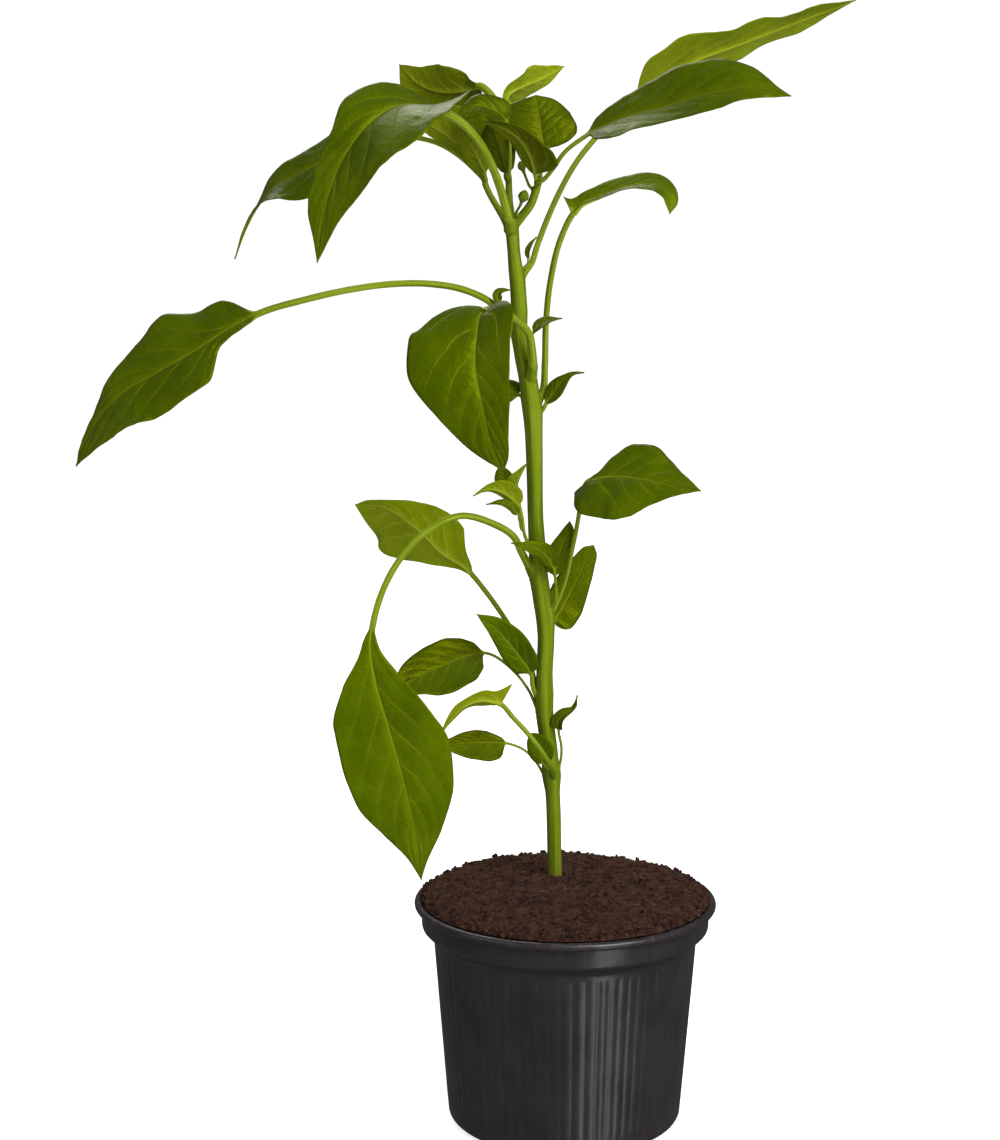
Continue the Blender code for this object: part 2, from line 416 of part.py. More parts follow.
def put(name, verts, faces, mat, smooth=True):
    """Make an object from vertices in millimetres, origin at its middle."""
    lo = [min(v[i] for v in verts) for i in range(3)]
    hi = [max(v[i] for v in verts) for i in range(3)]
    mid = Vector([(a + b) / 2 for a, b in zip(lo, hi)])
    mesh = bpy.data.meshes.new(name)
    mesh.from_pydata([(Vector(v) - mid) * MM for v in verts], [], faces)
    bm = bmesh.new()
    bm.from_mesh(mesh)
    bmesh.ops.recalc_face_normals(bm, faces=bm.faces)
    bmesh.ops.triangulate(bm, faces=[f for f in bm.faces if len(f.verts) > 3])
    bm.to_mesh(mesh)
    bm.free()
    mesh.materials.append(mat)
    if smooth:
        mesh.shade_smooth()
        mesh.set_sharp_from_angle(angle=math.radians(50))
    obj = bpy.data.objects.new(name, mesh)
    obj.location = mid * MM
    bpy.context.collection.objects.link(obj)
    return obj


def guide(name, verts, faces):
    """A hidden shape that a Boolean uses."""
    obj = put(name, verts, faces, None, smooth=False)
    obj.hide_render = True
    obj.display_type = "WIRE"
    return obj


def boolean(obj, other, operation):
    mod = obj.modifiers.new(other.name, "BOOLEAN")
    mod.operation = operation
    mod.solver = "EXACT"
    mod.object = other
    return mod


def turned(profile, segments, axis=(0.0, 0.0)):
    """Vertices and faces of a closed profile turned about an upright axis.

    A profile point with radius 0 becomes a single vertex.
    """
    verts, rows = [], []
    for radius, z in profile:
        if radius <= 0:
            rows.append([len(verts)])
            verts.append((axis[0], axis[1], z))
            continue
        row = []
        for k in range(segments):
            a = 2 * math.pi * k / segments
            row.append(len(verts))
            verts.append((axis[0] + radius * math.cos(a),
                          axis[1] + radius * math.sin(a), z))
        rows.append(row)
    faces = []
    for i in range(len(rows) - 1):
        a, b = rows[i], rows[i + 1]
        for k in range(segments):
            m = (k + 1) % segments
            if len(a) == 1:
                faces.append((a[0], b[k], b[m]))
            elif len(b) == 1:
                faces.append((a[k], a[m], b[0]))
            else:
                faces.append((a[k], a[m], b[m], b[k]))
    return verts, faces


def arc(cx, cz, radius, start, end, steps):
    """Profile points on a circular arc, angles in degrees."""
    out = []
    for i in range(steps + 1):
        a = math.radians(start + (end - start) * i / steps)
        out.append((cx + radius * math.cos(a), cz + radius * math.sin(a)))
    return out


def spline(points, t):
    """Smooth curve through points, parameter t from 0 to len(points) - 1."""
    n = len(points)
    i = min(int(t), n - 2)
    f = t - i
    p1, p2 = Vector(points[i]), Vector(points[i + 1])
    p0 = Vector(points[i - 1]) if i > 0 else 2 * p1 - p2
    p3 = Vector(points[i + 2]) if i + 2 < n else 2 * p2 - p1
    d0 = max((p1 - p0).length, 1e-6)
    d1 = max((p2 - p1).length, 1e-6)
    d2 = max((p3 - p2).length, 1e-6)
    m1 = ((p1 - p0) / d0 * d1 + (p2 - p1) / d1 * d0) / (d0 + d1) * d1
    m2 = ((p2 - p1) / d1 * d2 + (p3 - p2) / d2 * d1) / (d1 + d2) * d1
    f2, f3 = f * f, f * f * f
    return ((2 * f3 - 3 * f2 + 1) * p1 + (f3 - 2 * f2 + f) * m1
            + (-2 * f3 + 3 * f2) * p2 + (f3 - f2) * m2)


def lerp3(values, s):
    """Value between three entries for base, middle and tip."""
    a, b, c = values
    return a + (b - a) * 2 * s if s < 0.5 else b + (c - b) * (2 * s - 1)


def stem_at(z):
    """Centre and radius of the main stem at a height."""
    for a, b in zip(STEM, STEM[1:]):
        if a[2] <= z <= b[2]:
            f = (z - a[2]) / (b[2] - a[2])
            return [p + (q - p) * f for p, q in zip(a, b)]
    raise ValueError(z)


def rings_to_mesh(rings):
    """Closed skin over a row of rings with equal counts."""
    n = len(rings[0])
    verts = [v for ring in rings for v in ring]
    faces = []
    for i in range(len(rings) - 1):
        for k in range(n):
            m = (k + 1) % n
            faces.append((i * n + k, i * n + m, (i + 1) * n + m, (i + 1) * n + k))
    for row in (0, len(rings) - 1):
        mid = sum((Vector(v) for v in rings[row]), Vector()) / n
        verts.append(tuple(mid))
        c = len(verts) - 1
        for k in range(n):
            m = (k + 1) % n
            a, b = row * n + k, row * n + m
            faces.append((a, b, c) if row else (b, a, c))
    return verts, faces


def tube(points, sides, per_span):
    """A tapering round tube through points of x, y, z and radius."""
    route = [p[:3] for p in points]
    total = (len(points) - 1) * per_span
    rings = []
    side = None
    for j in range(total + 1):
        t = j / per_span
        i = min(int(t), len(points) - 2)
        radius = points[i][3] + (points[i + 1][3] - points[i][3]) * (t - i)
        here = spline(route, t)
        step = 1e-3
        ahead = spline(route, min(t + step, len(points) - 1))
        back = spline(route, max(t - step, 0))
        along = (ahead - back).normalized()
        if side is None:
            side = Vector((1, 0, 0))
        side = (side - side.dot(along) * along).normalized()
        other = along.cross(side)
        rings.append([tuple(here + radius * (math.cos(a) * side + math.sin(a) * other))
                      for a in (2 * math.pi * k / sides for k in range(sides))])
    return rings_to_mesh(rings)


def half_width(spec, right, s):
    """Width of one half of a blade in mm, from its table or its formula."""
    if s <= 0 or s >= 1:
        return 0.0
    if "left" in spec:
        return smooth_table(spec["right" if right else "left"], s)
    peak, tip = pair(spec["peak"])[right], spec["tip"]
    base = peak * tip / (1 - peak)
    return spec["half"][right] * (s / peak) ** base * ((1 - s) / (1 - peak)) ** tip


def smooth_table(widths, s):
    """Smooth curve through the widths at WIDTH_STATIONS, 0 at both ends."""
    xs = (0.0,) + WIDTH_STATIONS + (1.0,)
    ys = (0.0,) + tuple(widths) + (0.0,)
    slopes = []
    for i in range(len(xs)):
        if i in (0, len(xs) - 1):
            a, b = (0, 1) if i == 0 else (i - 1, i)
            slopes.append((ys[b] - ys[a]) / (xs[b] - xs[a]))
            continue
        d0 = (ys[i] - ys[i - 1]) / (xs[i] - xs[i - 1])
        d1 = (ys[i + 1] - ys[i]) / (xs[i + 1] - xs[i])
        slopes.append(0.0 if d0 * d1 <= 0 else 2 * d0 * d1 / (d0 + d1))
    for i in range(len(xs) - 1):
        if s <= xs[i + 1]:
            w = xs[i + 1] - xs[i]
            f = (s - xs[i]) / w
            f2, f3 = f * f, f * f * f
            return ((2 * f3 - 3 * f2 + 1) * ys[i] + (f3 - 2 * f2 + f) * w * slopes[i]
                    + (-2 * f3 + 3 * f2) * ys[i + 1] + (f3 - f2) * w * slopes[i + 1])
    return 0.0


def pair(value):
    return value if isinstance(value, tuple) else (value, value)


def leaf(spec, columns, stalk_steps, blade_stations, thickness):
    """Rings from the foot of the stalk to the tip of the blade."""
    r0, r1 = spec["stem"]
    if "at" in spec:
        z, bearing = spec["at"]
        cx, cy, _, radius = stem_at(z)
        out = Vector((math.cos(math.radians(bearing)), math.sin(math.radians(bearing)), 0))
        foot = Vector((cx, cy, z)) + out * (radius + GAP + 0.12 * r0)
        if r0 > 0.7:
            points = [foot, foot + out * (1.0 + r0) + Vector((0, 0, 0.5))]
        else:
            # a thin stalk leaves the stem at the slant of its first stretch
            slant = (Vector(spec["stalk"][0]) - foot).normalized().dot(out)
            points = [foot + out * r0 * math.sqrt(max(0.0, 1 - slant * slant))]
    else:
        points = [Vector(spec["start"])]
    points += [Vector(p) for p in spec["stalk"]]
    base = len(points) - 1
    points += [Vector(p) for p in spec["rib"]]
    last = len(points) - 1

    def tangent(t):
        e = 1e-3
        return (spline(points, min(t + e, last)) - spline(points, max(t - e, 0))).normalized()

    faces_dir = [Vector(f).normalized() for f in spec["face"]]

    def blade_normal(s, along):
        n = lerp3(faces_dir, s)
        return (n - n.dot(along) * along).normalized()

    # distance along the midrib, so that stations are evenly spaced
    fine = 200
    marks = [spline(points, base + (last - base) * i / fine) for i in range(fine + 1)]
    run = [0.0]
    for a, b in zip(marks, marks[1:]):
        run.append(run[-1] + (b - a).length)

    def rib_t(s):
        want = s * run[-1]
        for i in range(fine):
            if run[i + 1] >= want:
                f = (want - run[i]) / max(run[i + 1] - run[i], 1e-9)
                return base + (last - base) * (i + f) / fine
        return float(last)

    span = [k / columns for k in range(-columns, columns + 1)]
    join = spec.get("join", 0.09)
    curl_l, curl_r = pair(spec["curl"])
    lobe_l, lobe_r = spec.get("lobe", (0, 0))
    amp, count, phase = spec["wave"]

    def round_ring(here, side, up, radius):
        ring = []
        for u in span:
            a = u * math.pi / 2
            ring.append(here + radius * (math.sin(a) * side + math.cos(a) * up))
        for u in reversed(span[1:-1]):
            a = u * math.pi / 2
            ring.append(here + radius * (math.sin(a) * side - math.cos(a) * up))
        return ring

    def blade_ring(s, here, along, side, up, radius):
        tops, lows = [], []
        for u in span:
            right = u > 0
            width = half_width(spec, right, s)
            width = max(width, radius * (1 - s) + 0.25)
            fold = math.radians(lerp3(spec["fold"], s))
            curl = math.radians(curl_r if right else curl_l)
            reach = abs(u)
            y = h = 0.0
            steps = 6
            for k in range(steps):
                m = (k + 0.5) / steps * reach
                a = fold + curl * m
                y += math.cos(a) * width * reach / steps
                h += math.sin(a) * width * reach / steps
            h += amp * reach * reach * math.sin(
                2 * math.pi * count * s + phase * 6.283 + (1.7 if right else 0))  \
                * min(1.0, 4 * s) * min(1.0, 4 * (1 - s))
            lobe = (lobe_r if right else lobe_l)
            back = lobe * reach ** 1.5 * max(0.0, 1 - s / 0.35) ** 2
            p = here + side * (y if right else -y) + up * h - along * back
            n = (up * math.cos(fold) - side * math.sin(fold) * (1 if right else -1)
                 if u else up)
            thick = thickness / 2 * (1.0 if reach < 1 else 0.0)
            tops.append(p + n * thick)
            if reach < 1:
                rib = radius * (1 - s) * 1.2 if u == 0 else 0.0
                lows.append(p - n * (thick + rib))
        return tops + list(reversed(lows))

    rings = []
    # stalk frames are carried back from the base of the blade
    along = tangent(base)
    up = blade_normal(0.0, along)
    stalk = []
    total = max(2, int(round(base * stalk_steps)))
    for j in range(total, -1, -1):
        t = base * j / total
        along = tangent(t)
        up = (up - up.dot(along) * along).normalized()
        side = along.cross(up)
        f = t / base if base else 1.0
        radius = r0 + (r1 - r0) * min(1.0, f * 1.6)
        stalk.append(round_ring(spline(points, t), side, up, radius))
    rings += reversed(stalk)
    for s in blade_stations:
        t = rib_t(s)
        along = tangent(t)
        up = blade_normal(s, along)
        side = along.cross(up)
        here = spline(points, t)
        flat = blade_ring(s, here, along, side, up, r1 * 0.8)
        rnd = round_ring(here, side, up, r1)
        f = min(1.0, s / join)
        f = f * f * (3 - 2 * f)
        rings.append([a.lerp(b, f) for a, b in zip(rnd, flat)])
    return [[tuple(v) for v in ring] for ring in rings]


def build_pot():
    lip_r = RIM_RADIUS - LIP_ROLL
    lip_z = POT_HEIGHT - LIP_ROLL
    foot_in = BODY_FOOT_RADIUS - FOOT_CORNER
    ch_in, ch_out = CHANNEL
    outer = [(0.0, 0.0), (PAD_RADIUS, 0.0), (ch_in, CHANNEL_RISE), (ch_out, CHANNEL_RISE),
             (ch_out + 2.0, 0.0)]
    outer += arc(foot_in, FOOT_CORNER, FOOT_CORNER, -90, -4, 4)
    outer += [(BODY_FOOT_RADIUS + (BODY_TOP_RADIUS - BODY_FOOT_RADIUS) * 0.5, BODY_TOP * 0.5),
              (BODY_TOP_RADIUS, BODY_TOP),
              (BODY_TOP_RADIUS + 1.4, BODY_TOP + 1.2),
              (COLLAR_RADIUS - 1.4, COLLAR_BOTTOM - 1.2),
              (COLLAR_RADIUS, COLLAR_BOTTOM),
              (COLLAR_RADIUS + 0.2, lip_z - LIP_ROLL)]
    outer += arc(lip_r, lip_z, LIP_ROLL, -80, 90, 6)
    inner_top = COLLAR_RADIUS - WALL
    inner = [(inner_top + 0.9, POT_HEIGHT - 0.3), (inner_top + 0.1, POT_HEIGHT - 1.2),
             (inner_top - 0.1, COLLAR_BOTTOM + 0.4),
             (BODY_TOP_RADIUS + 1.4 - WALL, BODY_TOP + 2.0),
             (BODY_TOP_RADIUS - WALL, BODY_TOP),
             (BODY_FOOT_RADIUS - WALL, FOOT_CORNER + 0.6),
             (foot_in - 0.6, BASE_WALL),
             (ch_out + 2.4, BASE_WALL),
             (ch_out + 0.6, CHANNEL_RISE + BASE_WALL),
             (ch_in - 0.6, CHANNEL_RISE + BASE_WALL),
             (PAD_RADIUS - 0.4, BASE_WALL), (0.0, BASE_WALL)]
    verts, faces = turned(outer + inner, POT_SEGMENTS)
    pot = put("pot", verts, faces, finish("pot_plastic", "pot_plastic"))

    verts, faces = [], []
    mid = (ch_in + ch_out) / 2
    for k in range(DRAIN_HOLES):
        a = 2 * math.pi * (k + 0.5) / DRAIN_HOLES
        v, f = turned([(0.0, -2.0), (DRAIN_HOLE_RADIUS, -2.0), (DRAIN_HOLE_RADIUS, 6.0),
                       (0.0, 6.0)], 12, (mid * math.cos(a), mid * math.sin(a)))
        n = len(verts)
        verts += v
        faces += [tuple(i + n for i in face) for face in f]
    boolean(pot, guide("drain_hole_cutter", verts, faces), "DIFFERENCE")
    return pot


def build_soil():
    wall = 0.45
    inside = COLLAR_RADIUS - WALL - wall
    floor = CHANNEL_RISE + BASE_WALL + GAP
    side = [(0.0, floor), (BODY_FOOT_RADIUS - WALL - wall - 1.2, floor),
            (BODY_FOOT_RADIUS - WALL - wall, FOOT_CORNER + 1.2),
            (BODY_TOP_RADIUS - WALL - wall, BODY_TOP),
            (BODY_TOP_RADIUS + 1.0 - WALL - wall, BODY_TOP + 2.2),
            (inside - 0.4, COLLAR_BOTTOM + 1.0),
            (inside - 0.1, POT_HEIGHT - 1.2), (inside + 0.3, POT_HEIGHT + GAP),
            (SOIL_SPILL, POT_HEIGHT + GAP)]
    top = [(SOIL_SPILL - 0.3, POT_HEIGHT + 1.5), (SOIL_SPILL - 2.4, POT_HEIGHT + 2.6),
           (SOIL_SPILL - 6.0, SOIL_PLATEAU - 0.6), (42.0, SOIL_PLATEAU),
           (28.0, SOIL_PLATEAU + 1.2), (14.0, SOIL_CROWN - 0.5), (0.0, SOIL_CROWN)]
    verts, faces = turned(side + top, POT_SEGMENTS)
    # the heap is a little uneven in the middle
    lumpy = []
    for x, y, z in verts:
        r = math.hypot(x, y)
        if z > POT_HEIGHT + 2.0:
            fade = min(1.0, (SOIL_SPILL - 1.0 - r) / 8.0)
            z += fade * (0.5 * math.sin(x * 0.13 + 1.0) * math.cos(y * 0.11)
                         + 0.35 * math.sin(x * 0.29 - y * 0.23))
        lumpy.append((x, y, z))
    soil = put("soil", lumpy, faces, finish("potting_soil", "potting_soil"), smooth=False)

    foot = []
    for x, y, z, r in STEM[:3]:
        foot.append((x, y, z, r + GAP + 0.1))
    foot[0] = (foot[0][0], foot[0][1], foot[0][2] - 0.6, foot[0][3])
    x, y, z, r = foot[2]
    foot[2] = (x, y, z + 3.0, r)
    verts, faces = tube(foot, 12, 1)
    boolean(soil, guide("stem_socket_cutter", verts, faces), "DIFFERENCE")
    return soil


def build_stem():
    verts, faces = tube(STEM, 12, 1)
    stem = put("main_stem", verts, faces, finish("stem_skin", "stem_skin"))
    for k, branch in enumerate(BRANCHES):
        verts, faces = tube(branch, 10, 2)
        boolean(stem, guide("fork_form_%d" % (k + 1), verts, faces), "UNION")
    return stem


LARGE = (0.03, 0.07, 0.13, 0.22, 0.34, 0.46, 0.58, 0.70, 0.81, 0.91, 0.985)
SMALL = (0.06, 0.15, 0.30, 0.48, 0.66, 0.83, 0.97)


def build_leaves():
    for name, spec in LEAVES.items():
        young = "half" in spec and max(spec["half"]) < 9
        rings = leaf(spec, 2, 1.0 if young else 1.5, SMALL if young else LARGE, 0.7)
        verts, faces = rings_to_mesh(rings)
        put(name, verts, faces, finish(name + "_skin", "young_leaf" if young else "leaf_blade"))


def build_buds():
    for name, spec in BUDS.items():
        start, neck, centre = (Vector(spec[k]) for k in ("start", "neck", "centre"))
        r = spec["radius"]
        axis = (centre - neck).normalized()
        points = [(*start, 0.5), (*neck, 0.5), (*(centre - axis * r * 0.95), 0.62),
                  (*(centre - axis * r * 0.6), r * 0.8), (*centre, r),
                  (*(centre + axis * r * 0.6), r * 0.8),
                  (*(centre + axis * r * 0.98), r * 0.25)]
        verts, faces = tube(points, 10, 1)
        put(name, verts, faces, finish(name + "_skin", "flower_bud"))


build_pot()
build_soil()
build_stem()
build_leaves()
build_buds()
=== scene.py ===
"""Looks of the potted sweet pepper plant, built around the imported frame.

Every piece is made here from the same tables as the CAD model, at a much
finer resolution: blades with quilting between their veins, grooved stalks,
one grown skin over stem, fork and leaf joints, a fluted pot with a rolled
lip, and a bed of crumbly, fibrous peat.  Sizes in tables are millimetres.
"""

import math

import bmesh
import bpy
import numpy as np
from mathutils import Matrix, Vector


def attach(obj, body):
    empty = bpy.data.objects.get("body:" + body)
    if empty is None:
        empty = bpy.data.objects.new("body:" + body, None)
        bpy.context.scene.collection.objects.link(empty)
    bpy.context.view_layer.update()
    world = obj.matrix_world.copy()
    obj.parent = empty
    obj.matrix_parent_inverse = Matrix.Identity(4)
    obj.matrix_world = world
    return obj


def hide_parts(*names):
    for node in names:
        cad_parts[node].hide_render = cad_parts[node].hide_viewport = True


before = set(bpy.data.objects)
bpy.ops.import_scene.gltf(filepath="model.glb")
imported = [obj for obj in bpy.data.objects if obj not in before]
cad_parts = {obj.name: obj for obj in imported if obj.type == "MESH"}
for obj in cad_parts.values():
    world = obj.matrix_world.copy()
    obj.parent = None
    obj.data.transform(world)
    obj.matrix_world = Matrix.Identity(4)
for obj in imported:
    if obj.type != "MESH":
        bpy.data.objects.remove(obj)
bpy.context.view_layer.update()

MM = 0.001
GAP = 0.35

# ---------------------------------------------------------------- pot ----
POT_HEIGHT = 90.0
RIM_RADIUS = 60.0
LIP_ROLL = 1.6
COLLAR_RADIUS = 57.1
COLLAR_BOTTOM = 79.5
BODY_TOP_RADIUS = 52.4
BODY_TOP = 75.0
BODY_FOOT_RADIUS = 46.7
FOOT_CORNER = 3.6
WALL = 1.2
BASE_WALL = 1.3
PAD_RADIUS = 25.0
CHANNEL = (27.0, 37.0)
CHANNEL_RISE = 1.8
DRAIN_HOLES = 8
DRAIN_HOLE_RADIUS = 3.6
FLUTES = 76                # ribs around the body
FLUTE_DEPTH = 0.30
FLUTE_STEPS = 8            # segments for each rib

# --------------------------------------------------------------- soil ----
SOIL_SPILL = 57.8
SOIL_PLATEAU = 94.2
SOIL_CROWN = 97.4

# --------------------------------------------------------------- stem ----
# x, y, z and radius at points up the stem, from the foot in the soil
STEM = (
    (-3.5, 8.0, 70.0, 2.5),
    (-3.7, 8.0, 84.0, 2.75),
    (-4.0, 7.8, 100.0, 2.85),
    (-4.9, 6.0, 132.0, 2.9),
    (-5.4, 5.6, 139.0, 3.7),
    (-6.0, 5.2, 146.0, 3.35),
    (-8.0, 4.0, 165.0, 3.3),
    (-8.2, 3.6, 172.0, 3.6),
    (-8.3, 3.2, 180.0, 3.25),
    (-7.8, 2.4, 196.0, 3.3),
    (-8.2, 2.0, 203.0, 3.6),
    (-9.2, 1.6, 210.0, 3.7),
    (-10.6, 1.2, 220.0, 3.5),
    (-11.3, 0.8, 231.0, 3.3),
    (-12.0, 0.6, 242.0, 3.0),
    (-12.4, 0.3, 258.0, 3.05),
    (-13.0, 0.0, 277.0, 3.35),
    (-14.0, 0.0, 289.0, 3.7),
    (-15.6, 0.0, 298.0, 3.3),
    (-17.4, 0.0, 306.0, 3.0),
    (-18.3, 0.0, 314.0, 3.0),
    (-18.5, 0.0, 323.0, 3.2),
    (-19.2, 0.0, 332.0, 2.9),
    (-19.9, 0.0, 338.0, 2.75),
    (-20.6, 0.0, 345.0, 2.45),
    (-21.1, 0.0, 352.0, 2.55),
    (-21.4, 0.0, 357.0, 2.6),
)
BRANCHES = (
    ((-22.2, 0.4, 353.6, 1.9), (-24.4, 1.5, 357.6, 1.5), (-27.0, 3.0, 361.8, 1.3),
     (-30.1, 5.0, 367.1, 1.25), (-31.8, 6.5, 371.0, 1.3)),
    ((-20.6, -0.5, 354.6, 1.9), (-17.5, -1.5, 358.4, 1.75), (-14.3, -2.5, 362.6, 1.65),
     (-12.2, -3.0, 368.1, 1.6), (-11.2, -3.2, 371.0, 1.3)),
    ((-21.4, 1.0, 355.0, 1.9), (-22.3, 5.5, 364.0, 1.45), (-22.6, 8.5, 373.0, 1.35)),
)

# -------------------------------------------------------------- leaves ---
# at      height on the stem and bearing around it (degrees, +X is 0,
#         -90 points to the front) where the stalk leaves the stem
# start   used instead of "at" where the stalk starts on a branch or shoot
# stalk   points along the stalk; the last one is the base of the blade
# rib     points along the midrib after the base, the last one is the tip
# face    directions of the upper face near base, middle and tip
# half    greatest half widths, left and right of the midrib
# peak    where along the midrib each half is widest, 0 base, 1 tip
# tip     taper towards the tip, larger is more drawn out
# left    in place of half, peak and tip: widths of the left half at the
# right   WIDTH_STATIONS along the midrib, and of the right half
# join    length over which the round stalk turns into the flat blade
# fold    angle of each half against the face at base, middle and tip
# curl    further bend between midrib and margin
# lobe    how far each half reaches back past the base of the blade
# wave    height, number and phase of ripples along the margins
# stem    radius of the stalk at the stem and at the blade
# and painted sheen for leaves that catch the light
# tone    depth of green of the leaf, plus painted shade for leaves in shadow
# tones   painted shade and light on the left and the right half
WIDTH_STATIONS = (0.05, 0.12, 0.22, 0.35, 0.5, 0.65, 0.8, 0.92)

